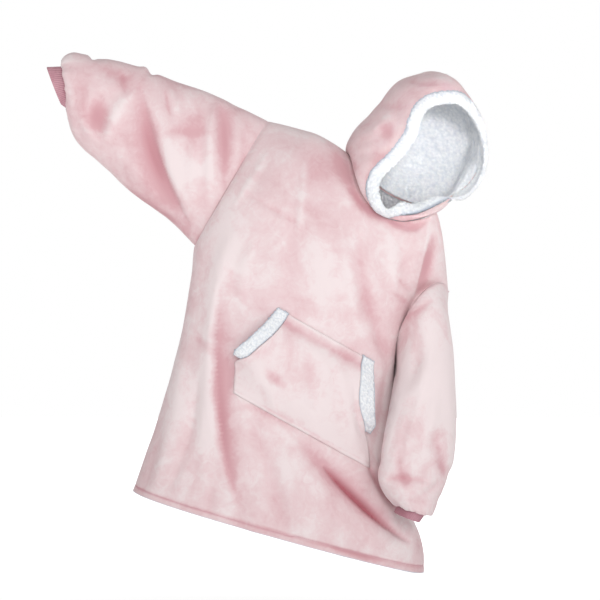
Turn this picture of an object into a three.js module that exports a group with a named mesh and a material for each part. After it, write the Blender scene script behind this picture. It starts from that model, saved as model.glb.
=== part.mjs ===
import * as THREE from "three";

// A wearable blanket hoodie in its worn form: millimetres, +X to the wearer's left,
// +Y away from the front, +Z up, origin at the middle of the neck opening.

const gap = 0.2; // each panel edge is drawn back by this much at a seam
const clothWall = 4.5; // plush cloth with its pile
const hoodWall = 4; // hood shell
const liningWall = 4.5; // sherpa lining of the hood
const liningGap = 0.6;

const neckSplit = 6; // segment of the front neck where the two rim ends meet; the nape is opposite
const neckSegments = 10;
const sideSegments = 8;
const lowerRows = 11;
const upperRows = 10;
const rimSegments = 14;

const pinkPlush = new THREE.MeshStandardMaterial({ color: 0xe6cdd0, roughness: 0.95 });
const whiteSherpa = new THREE.MeshStandardMaterial({ color: 0xebf0f5, roughness: 1 });
const duskyKnit = new THREE.MeshStandardMaterial({ color: 0xcd919b, roughness: 0.9 });

// Body below the armpits, a row per section: share of the way up from hem to armpit,
// the wearer's right side seam, the left side seam, and how far front and back stand out.
const bodySections = [
  // up, rightX, rightY, rightZ, leftX, leftY, leftZ, front, back
  [0.0, -617, -10, -737, 79, 30, -936, 190, 185],
  [0.15, -590, -12, -660, 74, 38, -862, 192, 182],
  [0.3, -564, -14, -586, 40, 46, -782, 190, 178],
  [0.5, -528, -16, -468, 18, 66, -682, 186, 172],
  [0.75, -490, -18, -317, 14, 76, -548, 182, 165],
  [0.87, -478, -19, -240, 10, 70, -490, 181, 162],
  [1.0, -470, -20, -154, 11, 38, -427, 180, 160],
];

// The line over the shoulders, from the right sleeve seam to the left one.
const shoulderLine = [
  // x, y, z
  [-295, 0, 146],
  [-259, 2, 138],
  [-218, 4, 127],
  [-185, 4, 118],
  [-151, 4, 101],
  [-110, 5, 74],
  [0, 5, 0],
  [110, 5, -74],
  [122, 6, -118],
  [132, 8, -190],
  [139, 10, -262],
];
const neckFrom = new THREE.Vector2(-110, 74);
const neckTo = new THREE.Vector2(110, -74);

const frontNeck = { drop: 85, skew: 1.5, round: 0.85 };
const backNeck = { drop: 24, skew: 1.0, round: 0.9 };
const neckPanelDrop = 371; // armpit line to neck, measured down the middle
const armholeDepth = { right: 62, left: 128 };
const leftArmholeLift = { x: -22, z: 58 };

// Sleeves, a row per ring: distance along, upper edge, lower edge, half depth.
const sleeveRightRings = [
  // along, upX, upY, upZ, lowX, lowY, lowZ, half
  [0.0, -295, 0, 146, -470, -20, -154, 62],
  [0.15, -362, 0, 178, -506, -14, -113, 68],
  [0.3, -430, 0, 211, -554, -8, -74, 72],
  [0.5, -516, 0, 242, -624, 0, -26, 72],
  [0.7, -600, 0, 276, -689, 0, 38, 70],
  [0.85, -679, 0, 294, -737, 0, 79, 68],
  [0.94, -737, 0, 307, -763, 0, 110, 62],
  [1.0, -781, 0, 300, -770, 0, 137, 52],
  [1.04, -787, 0, 288, -775, 0, 156, 40],
  [1.08, -778, 0, 278, -767, 0, 168, 28],
];
const sleeveLeftRings = [
  // along, upX, upY, upZ, lowX, lowY, lowZ, half
  [0.0, 139, 10, -262, 11, 38, -427, 128],
  [0.15, 137, -12, -330, 12, -46, -460, 102],
  [0.35, 140, -24, -405, 4, -96, -502, 84],
  [0.55, 141, -42, -511, -10, -134, -566, 72],
  [0.75, 141, -54, -619, -22, -164, -636, 62],
  [0.88, 134, -66, -680, -32, -172, -684, 58],
  [0.95, 116, -80, -720, -28, -170, -714, 56],
  [1.0, 100, -90, -748, -16, -162, -735, 54],
  [1.04, 92, -97, -773, -2, -154, -753, 50],
  [1.07, 80, -105, -785, 14, -146, -766, 47],
  [1.1, 70, -112, -774, 24, -140, -757, 44],
];
const sleeveRightStops = [
  0, 0.07, 0.16, 0.26, 0.36, 0.46, 0.56, 0.66, 0.76, 0.85, 0.92, 0.97, 1.01, 1.045, 1.08,
];
const sleeveLeftStops = [
  0, 0.06, 0.14, 0.24, 0.34, 0.45, 0.56, 0.67, 0.78, 0.87, 0.94, 0.99, 1.035, 1.07, 1.1,
];

// Cuffs run on from the last sleeve ring to these open ends.
const cuffRightEnd = { up: [-826, 0, 276], low: [-792, 0, 186], half: 25 };
const cuffLeftEnd = { up: [54, -115, -799], low: [8, -141, -782], half: 42 };

// Edge of the hood shell round the face opening, neck notch to crown.
const rimRight = [
  // x, y, z
  [-52, -130, -66],
  [-67, -138, -26],
  [-55, -142, 18],
  [-12, -147, 62],
  [24, -152, 112],
  [36, -152, 152],
  [59, -146, 185],
  [95, -134, 203],
  [133, -118, 209],
];
const rimLeft = [
  // x, y, z
  [16, -113, -87],
  [60, -99, -80],
  [108, -70, -58],
  [152, -36, -32],
  [190, -8, 0],
  [215, 6, 44],
  [225, 4, 94],
  [221, -15, 134],
  [206, -50, 166],
  [184, -82, 191],
];
const rimTop = [158, -104, 208];
// Crown seam from the rim to the back corner of the hood, then down to the neck.
const crownSeam = [
  // x, y, z
  [148, -78, 236],
  [122, -38, 258],
  [82, 14, 264],
];
const hoodCorner = [36, 66, 232];
const backSeam = [
  // x, y, z
  [6, 92, 184],
  [-12, 102, 116],
  [-12, 94, 50],
];
// Where the hood is fuller or flatter than its edges make it.
const hoodFill = {
  right: [
    // along, up, x, y, z, reach
    [0.35, 0.3, -4, -4, 0, 0.35],
    [0.7, 0.75, 4, 10, -2, 0.4],
  ],
  left: [
    // along, up, x, y, z, reach
    [0.25, 0.25, -14, 0, 10, 0.3],
    [0.7, 0.1, 0, 0, 12, 0.2],
    [0.7, 0.6, 12, 16, 0, 0.4],
  ],
};

const bandSteps = [
  // distance, turn inwards in degrees, half thickness
  [0, 0, 4.4],
  [8, 12, 5.6],
  [16, 36, 6.2],
  [24, 58, 6],
  [30, 70, 4.2],
];

// Soft folds, a row each: the spine as three places across and up, breadth, height.
// A trough has a height below nothing.
const folds = {
  front: [
    // x1, z1, x2, z2, x3, z3, breadth, height
    [-376, -133, -420, -353, -439, -701, 26, 8],
    [-395, -330, -398, -515, -373, -711, 20, -9],
    [-78, -139, -58, -283, -12, -422, 28, -9],
    [-232, -586, -112, -722, 16, -838, 26, -14],
    [-500, -420, -512, -560, -560, -735, 24, 7],
    [-300, -700, -318, -780, -322, -850, 24, 6],
    [87, -102, 71, -182, 47, -271, 22, -7],
  ],
  back: [
    [-330, -80, -372, -330, -400, -690, 26, 9],
    [-250, -160, -275, -420, -300, -760, 24, -10],
    [-120, -180, -118, -420, -150, -790, 26, 8],
    [-40, -300, -20, -520, -10, -800, 22, -8],
    [-480, -380, -500, -560, -530, -700, 20, -7],
    [-190, 0, -60, -130, 60, -180, 24, -7],
  ],
  sleeve_right_front: [
    [-595, 203, -555, 37, -498, -79, 20, -10],
    [-612, 208, -650, 163, -676, 99, 20, 6],
    [-403, 167, -395, 96, -399, 13, 18, -7],
    [-425, 163, -447, 75, -437, -51, 20, 6],
    [-730, 182, -705, 144, -680, 120, 24, -9],
  ],
  sleeve_right_back: [
    [-590, 210, -570, 100, -520, -30, 22, -9],
    [-400, 150, -440, 60, -450, -60, 22, 7],
    [-700, 230, -700, 150, -690, 100, 22, -7],
  ],
  sleeve_left_front: [
    [96, -290, 52, -316, 14, -352, 16, -9],
    [-18, -700, 10, -694, 70, -706, 15, -8],
    [118, -420, 60, -470, 10, -520, 24, 6],
    [130, -580, 90, -610, 20, -640, 22, -5],
  ],
  sleeve_left_back: [
    [130, -330, 90, -360, 40, -420, 20, -8],
    [140, -520, 90, -560, 30, -590, 24, 6],
    [120, -680, 80, -690, 20, -700, 18, -7],
  ],
  hood_right: [
    [-85, 60, -40, 48, 0, 62, 16, -5],
    [-60, 120, -20, 90, 18, 92, 16, -4],
  ],
};

// Pocket and its two sherpa trims, drawn flat: across from the middle (the wearer's right
// is less than nothing) and down from the top edge.
const pocketTop = new THREE.Vector2(-156.5, -366);
const pocketAcross = new THREE.Vector2(0.87, -0.492);
const pocketDown = new THREE.Vector2(-0.234, -0.972);
const pocketShape = [
  // down, outerRight, innerRight, innerLeft, outerLeft
  [-3, -129, -101, 97, 127],
  [20, -140, -108, 95, 128],
  [60, -160, -127, 94, 131],
  [100, -182, -151, 101, 141],
  [135, -203, -172, 118, 152],
  [152, -207, -189, 131, 156],
  [165, -203, -201, 143, 158],
  [178, -197, -197, 155, 161],
  [232, -187, -187, 179, 181],
];
const pocketHeight = 232;
const trimRightEnd = 156;
const trimLeftEnd = 168;
const pocketWall = 4.5;
const pocketPuff = 22; // how far its middle stands off the front
const trimWall = 7;

function curve(points) {
  const line = new THREE.CatmullRomCurve3(
    points.map((p) => new THREE.Vector3(...p)),
    false,
    "centripetal",
  );
  line.arcLengthDivisions = 400;
  return line;
}

function spaced(points, count) {
  return curve(points).getSpacedPoints(count);
}

function columnsAt(table, at) {
  let row = 0;
  while (row < table.length - 2 && at > table[row + 1][0]) row += 1;
  const a = table[Math.max(row - 1, 0)];
  const b = table[row];
  const c = table[row + 1];
  const d = table[Math.min(row + 2, table.length - 1)];
  const span = c[0] - b[0];
  const f = Math.min(Math.max((at - b[0]) / span, 0), 1);
  return b.slice(1).map((from, k) => {
    const to = c[k + 1];
    const slopeIn = a === b ? to - from : ((to - a[k + 1]) / (c[0] - a[0])) * span;
    const slopeOut = c === d ? to - from : ((d[k + 1] - from) / (d[0] - b[0])) * span;
    const f2 = f * f;
    const f3 = f2 * f;
    return (
      (2 * f3 - 3 * f2 + 1) * from +
      (f3 - 2 * f2 + f) * slopeIn +
      (3 * f2 - 2 * f3) * to +
      (f3 - f2) * slopeOut
    );
  });
}

const shoulderCurve = curve(shoulderLine);

function shoulderShare(x, z) {
  let best = 0;
  let nearest = Infinity;
  for (let i = 0; i <= 1000; i += 1) {
    const p = shoulderCurve.getPointAt(i / 1000);
    const off = Math.hypot(p.x - x, p.z - z);
    if (off < nearest) {
      nearest = off;
      best = i / 1000;
    }
  }
  return best;
}

const neckShareFrom = shoulderShare(neckFrom.x, neckFrom.y);
const neckShareTo = shoulderShare(neckTo.x, neckTo.y);

function roundShare(share) {
  return Math.acos(1 - 2 * share) / Math.PI;
}

// Each column of the panels fans out from its place at the top to a wider one at the armpits.
const columns = [];
const neckKFrom = roundShare(neckShareFrom);
const neckKTo = roundShare(neckShareTo);
const lowKFrom = roundShare(0.22);
const lowKTo = roundShare(0.84);
for (let i = 0; i < sideSegments; i += 1) {
  const f = i / sideSegments;
  columns.push({ top: neckKFrom * f, low: lowKFrom * f, neck: -1 });
}
for (let i = 0; i <= neckSegments; i += 1) {
  const f = i / neckSegments;
  const eased = 0.3 * f + 0.35 * (1 - Math.cos(Math.PI * f));
  const share = neckShareFrom + (neckShareTo - neckShareFrom) * eased;
  columns.push({ top: roundShare(share), low: lowKFrom + (lowKTo - lowKFrom) * f, neck: eased });
}
for (let i = 1; i <= sideSegments; i += 1) {
  const f = i / sideSegments;
  columns.push({ top: neckKTo + (1 - neckKTo) * f, low: lowKTo + (1 - lowKTo) * f, neck: -1 });
}
const firstNeck = sideSegments;
const lastNeck = sideSegments + neckSegments;

function across(k) {
  return (1 - Math.cos(Math.PI * k)) / 2;
}

function fullness(k, power) {
  return Math.pow(Math.max(Math.sin(Math.PI * k), 0), power);
}

function sectionPoint(up, k, side) {
  const [rx, ry, rz, lx, ly, lz, front, back] = columnsAt(bodySections, up);
  const c = across(k);
  const depth = (side < 0 ? front : back) * fullness(k, 0.66);
  return new THREE.Vector3(
    rx + (lx - rx) * c,
    ry + (ly - ry) * c + side * depth,
    rz + (lz - rz) * c,
  );
}

// v runs from hem 0 to armpit 1 to shoulder 2.
function bodyPoint(column, v, side) {
  if (v <= 1) return sectionPoint(v, column.low, side);
  const [rx, ry, rz, lx, ly, lz, front, back] = columnsAt(bodySections, 1);
  const turn = Math.PI * (v - 1);
  const w = (1 - Math.cos(turn)) / 2;
  const k = column.low + (column.top - column.low) * w;
  const c = across(k);
  const top = shoulderCurve.getPointAt(across(column.top));
  const neck = side < 0 ? frontNeck : backNeck;
  let drop = 0;
  if (column.neck > 0 && column.neck < 1) {
    const f = Math.pow(column.neck, neck.skew);
    drop = neck.drop * Math.pow(Math.sin(Math.PI * f), neck.round);
  }
  top.x -= 0.56 * drop;
  top.z -= 0.83 * drop;
  const reach = w * (1 - drop / neckPanelDrop);
  const close = Math.sqrt(Math.max(1 - reach * reach, 0));
  const full = fullness(k, 0.66 - 0.16 * w);
  const edge = Math.sin(turn) * (armholeDepth.right * (1 - c) + armholeDepth.left * c);
  const middle = (side < 0 ? front : back) * close;
  const at = across(column.low);
  const low = new THREE.Vector3(
    rx + (lx - rx) * at,
    ry + (ly - ry) * at,
    rz + (lz - rz) * at,
  );
  const p = low.lerp(top, w);
  p.y += side * (edge * Math.pow(1 - full, 3) + middle * full);
  if (side < 0) {
    const lift = Math.sin(turn) * Math.pow(c, 4);
    p.x += leftArmholeLift.x * lift;
    p.z += leftArmholeLift.z * lift;
  }
  return p;
}

// Rounds the turn that the panels take at the armpits, most towards their middle.
function evenRows(rows) {
  const last = columns.length - 1;
  for (let round = 0; round < 10; round += 1) {
    const before = rows.map((row) => row.map((p) => p.clone()));
    for (let j = lowerRows - 3; j <= lowerRows + 4; j += 1) {
      for (let i = 1; i < last; i += 1) {
        const share = 0.7 * Math.min(Math.min(i, last - i) / 4, 1);
        const a = before[j - 1][i];
        const b = before[j + 1][i];
        const here = before[j][i];
        const down = here.distanceTo(a);
        const up = here.distanceTo(b);
        const even = a.clone().multiplyScalar(up).addScaledVector(b, down);
        rows[j][i].lerp(even.divideScalar(up + down), share);
      }
    }
  }
  return rows;
}

function bodyGrid(side) {
  const rows = [];
  for (let j = 0; j <= lowerRows; j += 1) {
    rows.push(columns.map((column) => bodyPoint(column, j / lowerRows, side)));
  }
  for (let j = 1; j <= upperRows; j += 1) {
    rows.push(columns.map((column) => bodyPoint(column, 1 + j / upperRows, side)));
  }
  return evenRows(rows);
}

function armholeLoop(front, back, column) {
  const loop = [];
  for (let j = upperRows; j >= 0; j -= 1) loop.push(front[lowerRows + j][column]);
  for (let j = 1; j < upperRows; j += 1) loop.push(back[lowerRows + j][column]);
  return loop;
}

function ringPoint(rings, along, turn) {
  const [ux, uy, uz, lx, ly, lz, half] = columnsAt(rings, along);
  const up = new THREE.Vector3(ux, uy, uz);
  const low = new THREE.Vector3(lx, ly, lz);
  const centre = up.clone().add(low).multiplyScalar(0.5);
  const arm = up.clone().sub(low).multiplyScalar(0.5);
  const unit = arm.clone().normalize();
  const depth = new THREE.Vector3(0, 1, 0).addScaledVector(unit, -unit.y).normalize();
  return centre
    .addScaledVector(arm, Math.cos(turn))
    .addScaledVector(depth, -Math.sin(turn) * half);
}

function sleeveGrid(loop, rings, stops) {
  const n = loop.length;
  return stops.map((along) => {
    const fade = 1 - THREE.MathUtils.smoothstep(along, 0, 0.35);
    return loop.map((start, i) => {
      const turn = (2 * Math.PI * i) / n;
      if (along === 0) return start.clone();
      const rest = start.clone().sub(ringPoint(rings, 0, turn));
      return ringPoint(rings, along, turn).addScaledVector(rest, fade);
    });
  });
}

function cuffGrid(ring, end) {
  const n = ring.length;
  const rings = [[0, ...end.up, ...end.low, end.half], [1, ...end.up, ...end.low, end.half]];
  return [0, 0.35, 0.7, 1].map((f) =>
    ring.map((start, i) =>
      start.clone().lerp(ringPoint(rings, 0, (2 * Math.PI * i) / n), f),
    ),
  );
}

function coons(bottom, top, front, back) {
  const nu = bottom.length - 1;
  const nv = front.length - 1;
  const rows = [];
  for (let j = 0; j <= nv; j += 1) {
    const v = j / nv;
    const row = [];
    for (let i = 0; i <= nu; i += 1) {
      const u = i / nu;
      const p = new THREE.Vector3();
      p.addScaledVector(bottom[i], 1 - v).addScaledVector(top[i], v);
      p.addScaledVector(front[j], 1 - u).addScaledVector(back[j], u);
      p.addScaledVector(bottom[0], -(1 - u) * (1 - v)).addScaledVector(bottom[nu], -u * (1 - v));
      p.addScaledVector(top[0], -(1 - u) * v).addScaledVector(top[nu], -u * v);
      row.push(p);
    }
    rows.push(row);
  }
  return rows;
}

function fillOut(rows, fills) {
  const nv = rows.length - 1;
  const nu = rows[0].length - 1;
  for (const [along, up, x, y, z, reach] of fills) {
    rows.forEach((row, j) => {
      row.forEach((p, i) => {
        const u = i / nu;
        const v = j / nv;
        const edge = 16 * u * (1 - u) * v * (1 - v);
        const off = Math.hypot(u - along, v - up) / reach;
        const share = Math.min(edge, 1) * Math.exp(-off * off);
        p.x += x * share;
        p.y += y * share;
        p.z += z * share;
      });
    });
  }
  return rows;
}

function key(p) {
  return `${Math.round(p.x * 500)},${Math.round(p.y * 500)},${Math.round(p.z * 500)}`;
}

// Outward directions shared wherever panels meet.
function sharedNormals(sheets) {
  const sums = new Map();
  for (const sheet of sheets) {
    const { grid, ring } = sheet;
    const cols = grid[0].length;
    for (let j = 0; j + 1 < grid.length; j += 1) {
      for (let i = 0; i < (ring ? cols : cols - 1); i += 1) {
        const next = (i + 1) % cols;
        const corners = [grid[j][i], grid[j][next], grid[j + 1][next], grid[j + 1][i]];
        const one = corners[2].clone().sub(corners[0]);
        const two = corners[3].clone().sub(corners[1]);
        const n = one.cross(two).multiplyScalar(sheet.out);
        for (const p of corners) {
          const at = key(p);
          if (!sums.has(at)) sums.set(at, new THREE.Vector3());
          sums.get(at).add(n);
        }
      }
    }
  }
  return (p) => sums.get(key(p)).clone().normalize();
}

// The same directions evened out between neighbours, for the strongly curved hood.
function evenNormals(sheetList, rounds) {
  const start = sharedNormals(sheetList);
  const near = new Map();
  let now = new Map();
  const link = (a, b) => {
    if (!near.has(key(a))) {
      near.set(key(a), new Set());
      now.set(key(a), start(a));
    }
    near.get(key(a)).add(key(b));
  };
  for (const { grid } of sheetList) {
    grid.forEach((row, j) =>
      row.forEach((p, i) => {
        if (i > 0) link(p, row[i - 1]);
        if (i + 1 < row.length) link(p, row[i + 1]);
        if (j > 0) link(p, grid[j - 1][i]);
        if (j + 1 < grid.length) link(p, grid[j + 1][i]);
      }),
    );
  }
  for (let round = 0; round < rounds; round += 1) {
    const next = new Map();
    for (const [at, others] of near) {
      const sum = now.get(at).clone().multiplyScalar(others.size);
      for (const other of others) sum.add(now.get(other));
      next.set(at, sum.normalize());
    }
    now = next;
  }
  return (p) => now.get(key(p)).clone();
}

function foldedBy(rows, keepEdges, list, facing, normal) {
  if (!list) return rows;
  const spines = list.map(([x1, z1, x2, z2, x3, z3, breadth, height]) => {
    const bend = new THREE.QuadraticBezierCurve(
      new THREE.Vector2(x1, z1),
      new THREE.Vector2(2 * x2 - (x1 + x3) / 2, 2 * z2 - (z1 + z3) / 2),
      new THREE.Vector2(x3, z3),
    );
    return { places: bend.getPoints(24), breadth, height };
  });
  return rows.map((row, j) =>
    row.map((p, i) => {
      const out = normal(p);
      const seen = THREE.MathUtils.smoothstep(out.y * facing, -0.1, 0.35);
      let move = 0;
      for (const { places, breadth, height } of spines) {
        let near = Infinity;
        let share = 0;
        places.forEach((q, n) => {
          const off = Math.hypot(q.x - p.x, q.y - p.z);
          if (off < near) {
            near = off;
            share = n / 24;
          }
        });
        const end = Math.pow(Math.sin(Math.PI * (0.08 + 0.84 * share)), 0.6);
        const a = near / breadth;
        const b = (near - 1.7 * breadth) / breadth;
        move += height * end * (Math.exp(-a * a) - 0.22 * Math.exp(-b * b));
      }
      return p.clone().addScaledVector(out, move * seen * keepEdges(i, j));
    }),
  );
}

function drawnBack(grid, ring, amounts) {
  const last = grid.length - 1;
  const cols = grid[0].length;
  return grid.map((row, j) =>
    row.map((p, i) => {
      const q = p.clone();
      const toward = (other, by) => {
        const step = other.clone().sub(p);
        q.addScaledVector(step.normalize(), by);
      };
      if (j === 0 && amounts.bottom) toward(grid[1][i], amounts.bottom);
      if (j === last && amounts.top) toward(grid[last - 1][i], amounts.top);
      if (!ring && i === 0 && amounts.first) toward(row[1], amounts.first);
      if (!ring && i === cols - 1 && amounts.last) toward(row[cols - 2], amounts.last);
      return q;
    }),
  );
}

function solidBetween(name, outer, inner, ring, material) {
  const rows = outer.length;
  const cols = outer[0].length;
  const places = [];
  const faces = [];
  const at = (side, j, i) => side * rows * cols + j * cols + (i % cols);
  for (const grid of [outer, inner]) {
    for (const row of grid) for (const p of row) places.push(p.x, p.y, p.z);
  }
  const place = (n) => new THREE.Vector3().fromArray(places, n * 3);
  const quad = (a, b, c, d) => {
    if (place(a).distanceTo(place(c)) <= place(b).distanceTo(place(d))) {
      faces.push(a, b, c, a, c, d);
    } else {
      faces.push(a, b, d, b, c, d);
    }
  };
  const span = ring ? cols : cols - 1;
  for (let j = 0; j + 1 < rows; j += 1) {
    for (let i = 0; i < span; i += 1) {
      quad(at(0, j, i), at(0, j, i + 1), at(0, j + 1, i + 1), at(0, j + 1, i));
      quad(at(1, j, i), at(1, j + 1, i), at(1, j + 1, i + 1), at(1, j, i + 1));
    }
  }
  for (let i = 0; i < span; i += 1) {
    const top = rows - 1;
    quad(at(0, 0, i + 1), at(0, 0, i), at(1, 0, i), at(1, 0, i + 1));
    quad(at(0, top, i), at(0, top, i + 1), at(1, top, i + 1), at(1, top, i));
  }
  if (!ring) {
    const side = cols - 1;
    for (let j = 0; j + 1 < rows; j += 1) {
      quad(at(0, j, 0), at(0, j + 1, 0), at(1, j + 1, 0), at(1, j, 0));
      quad(at(0, j + 1, side), at(0, j, side), at(1, j, side), at(1, j + 1, side));
    }
  }
  return closedMesh(name, places, faces, material);
}

function closedMesh(name, places, faces, material) {
  let volume = 0;
  const a = new THREE.Vector3();
  const b = new THREE.Vector3();
  const c = new THREE.Vector3();
  for (let f = 0; f < faces.length; f += 3) {
    a.fromArray(places, faces[f] * 3);
    b.fromArray(places, faces[f + 1] * 3);
    c.fromArray(places, faces[f + 2] * 3);
    volume += a.dot(b.cross(c));
  }
  if (volume < 0) faces.reverse();
  const shape = new THREE.BufferGeometry();
  shape.setAttribute("position", new THREE.Float32BufferAttribute(places, 3));
  shape.setIndex(faces);
  shape.computeVertexNormals();
  const mesh = new THREE.Mesh(shape, material);
  mesh.name = name;
  return mesh;
}

function shell(name, sheet, material, wall, amounts, normal, from = 0) {
  const back = drawnBack(sheet.grid, sheet.ring, amounts);
  const offset = (by) =>
    back.map((row, j) =>
      row.map((p, i) => p.clone().addScaledVector(normal(sheet.grid[j][i]), -by)),
    );
  return solidBetween(name, offset(from), offset(from + wall), sheet.ring, material);
}

const garment = new THREE.Group();
garment.name = "wearable_blanket_hoodie";

const frontBase = bodyGrid(-1);
const backBase = bodyGrid(1);
const top = lowerRows + upperRows;
for (let j = 0; j <= top; j += 1) {
  for (let i = 0; i < columns.length; i += 1) {
    const sideSeam = j <= lowerRows && (i === 0 || i === columns.length - 1);
    const shoulderSeam = j === top && (i <= firstNeck || i >= lastNeck);
    if (sideSeam || shoulderSeam) backBase[j][i].copy(frontBase[j][i]);
  }
}

function neckFront(i) {
  return frontBase[top][firstNeck + i];
}

function neckBack(i) {
  return backBase[top][firstNeck + i];
}

const notch = neckFront(neckSplit);
const neckMiddle = neckSegments - neckSplit;
const bottomRight = [];
for (let i = neckSplit; i >= 0; i -= 1) bottomRight.push(neckFront(i).clone());
for (let i = 1; i <= neckMiddle; i += 1) bottomRight.push(neckBack(i).clone());
const bottomLeft = [];
for (let i = neckSplit; i <= neckSegments; i += 1) bottomLeft.push(neckFront(i).clone());
for (let i = neckSegments - 1; i >= neckMiddle; i -= 1) bottomLeft.push(neckBack(i).clone());

const neckNape = neckBack(neckMiddle);
const seamUp = spaced([neckNape.toArray(), ...backSeam.slice().reverse(), hoodCorner], rimSegments);
const crown = [rimTop, ...crownSeam, hoodCorner];

function hoodGrid(bottom, rim, fills) {
  const front = spaced([notch.toArray(), ...rim, rimTop], rimSegments);
  const over = spaced(crown, bottom.length - 1);
  over[0].copy(front[rimSegments]);
  over[over.length - 1].copy(seamUp[rimSegments]);
  front[0].copy(bottom[0]);
  const back = seamUp.map((p) => p.clone());
  back[0].copy(bottom[bottom.length - 1]);
  return fillOut(coons(bottom, over, front, back), fills);
}

const hoodRightBase = hoodGrid(bottomRight, rimRight, hoodFill.right);
const hoodLeftBase = hoodGrid(bottomLeft, rimLeft, hoodFill.left);

const rightLoop = armholeLoop(frontBase, backBase, 0);
const leftLoop = armholeLoop(frontBase, backBase, columns.length - 1);
const sleeveRightBase = sleeveGrid(rightLoop, sleeveRightRings, sleeveRightStops);
const sleeveLeftBase = sleeveGrid(leftLoop, sleeveLeftRings, sleeveLeftStops);
const cuffRightBase = cuffGrid(sleeveRightBase[sleeveRightBase.length - 1], cuffRightEnd);
const cuffLeftBase = cuffGrid(sleeveLeftBase[sleeveLeftBase.length - 1], cuffLeftEnd);

// "out" turns each sheet's own facing so that every one faces away from the body.
const sheets = {
  front: { grid: frontBase, ring: false, out: 1 },
  back: { grid: backBase, ring: false, out: -1 },
  sleeve_right: { grid: sleeveRightBase, ring: true, out: -1 },
  sleeve_left: { grid: sleeveLeftBase, ring: true, out: 1 },
  cuff_right: { grid: cuffRightBase, ring: true, out: -1 },
  cuff_left: { grid: cuffLeftBase, ring: true, out: 1 },
  hood_right: { grid: hoodRightBase, ring: false, out: -1 },
  hood_left: { grid: hoodLeftBase, ring: false, out: 1 },
};

const bodySheets = () => ["front", "back", "sleeve_right", "sleeve_left", "cuff_right", "cuff_left"]
  .map((name) => sheets[name]);
const hoodSheets = () => [sheets.hood_right, sheets.hood_left];
const plain = sharedNormals(bodySheets());
const hoodPlain = evenNormals(hoodSheets(), 2);

function fadeEdges(rows, cols, ring, width) {
  return (i, j) => {
    const up = Math.min(j, rows - 1 - j) / width;
    const over = ring ? 1 : Math.min(i, cols - 1 - i) / width;
    return THREE.MathUtils.smoothstep(Math.min(up, over), 0, 1);
  };
}

function fadeTop(rows, cols) {
  return (i, j) => {
    const up = (rows - 1 - j) / 2;
    const over = Math.min(i, cols - 1 - i) / 2;
    return THREE.MathUtils.smoothstep(Math.min(up, over), 0, 1);
  };
}

function applyFolds(name, list, facing, keep, directions) {
  sheets[name].grid = foldedBy(sheets[name].grid, keep, list, facing, directions);
}

const bodyRows = top + 1;
applyFolds("front", folds.front, -1, fadeTop(bodyRows, columns.length), plain);
applyFolds("back", folds.back, 1, fadeTop(bodyRows, columns.length), plain);
const ringKeep = fadeEdges(sleeveRightStops.length, 20, true, 1.5);
const sleeveBases = { sleeve_right: sleeveRightBase, sleeve_left: sleeveLeftBase };
for (const name of ["sleeve_right", "sleeve_left"]) {
  const base = sleeveBases[name];
  const shifted = foldedBy(base, ringKeep, folds[`${name}_front`], -1, plain);
  const behind = foldedBy(base, ringKeep, folds[`${name}_back`], 1, plain);
  sheets[name].grid = base.map((row, j) =>
    row.map((p, i) => shifted[j][i].clone().add(behind[j][i]).sub(p)),
  );
}
applyFolds("hood_right", folds.hood_right, -1, fadeEdges(rimSegments + 1, 11, false, 2), hoodPlain);

const normal = sharedNormals(bodySheets());
const hoodNormal = evenNormals(hoodSheets(), 2);

const seamAll = { bottom: 1.2, top: gap, first: gap, last: gap };
const openHem = { top: gap, first: gap, last: gap };
garment.add(shell("front", sheets.front, pinkPlush, clothWall, openHem, normal));
garment.add(shell("back", sheets.back, pinkPlush, clothWall, openHem, normal));
const tube = { bottom: gap, top: gap };
garment.add(shell("sleeve_right", sheets.sleeve_right, pinkPlush, clothWall, tube, normal));
garment.add(shell("sleeve_left", sheets.sleeve_left, pinkPlush, clothWall, tube, normal));
const cuffEdge = { bottom: gap };
garment.add(shell("cuff_right", sheets.cuff_right, duskyKnit, 3.5, cuffEdge, normal));
garment.add(shell("cuff_left", sheets.cuff_left, duskyKnit, 3.5, cuffEdge, normal));
garment.add(shell("hood_right", sheets.hood_right, pinkPlush, hoodWall, seamAll, hoodNormal));
garment.add(shell("hood_left", sheets.hood_left, pinkPlush, hoodWall, seamAll, hoodNormal));
const liningEdge = { bottom: 7, top: 0.6, first: 1, last: 0.6 };
const liningFrom = hoodWall + liningGap;
for (const side of ["right", "left"]) {
  garment.add(
    shell(
      `hood_lining_${side}`,
      sheets[`hood_${side}`],
      whiteSherpa,
      liningWall,
      liningEdge,
      hoodNormal,
      liningFrom,
    ),
  );
}

// The band stands a little further off where the rim turns sharply at the neck notch.
function bandGap(i, n) {
  return i <= 3 || i >= n - 7 ? 2.2 : 0.6;
}

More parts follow.
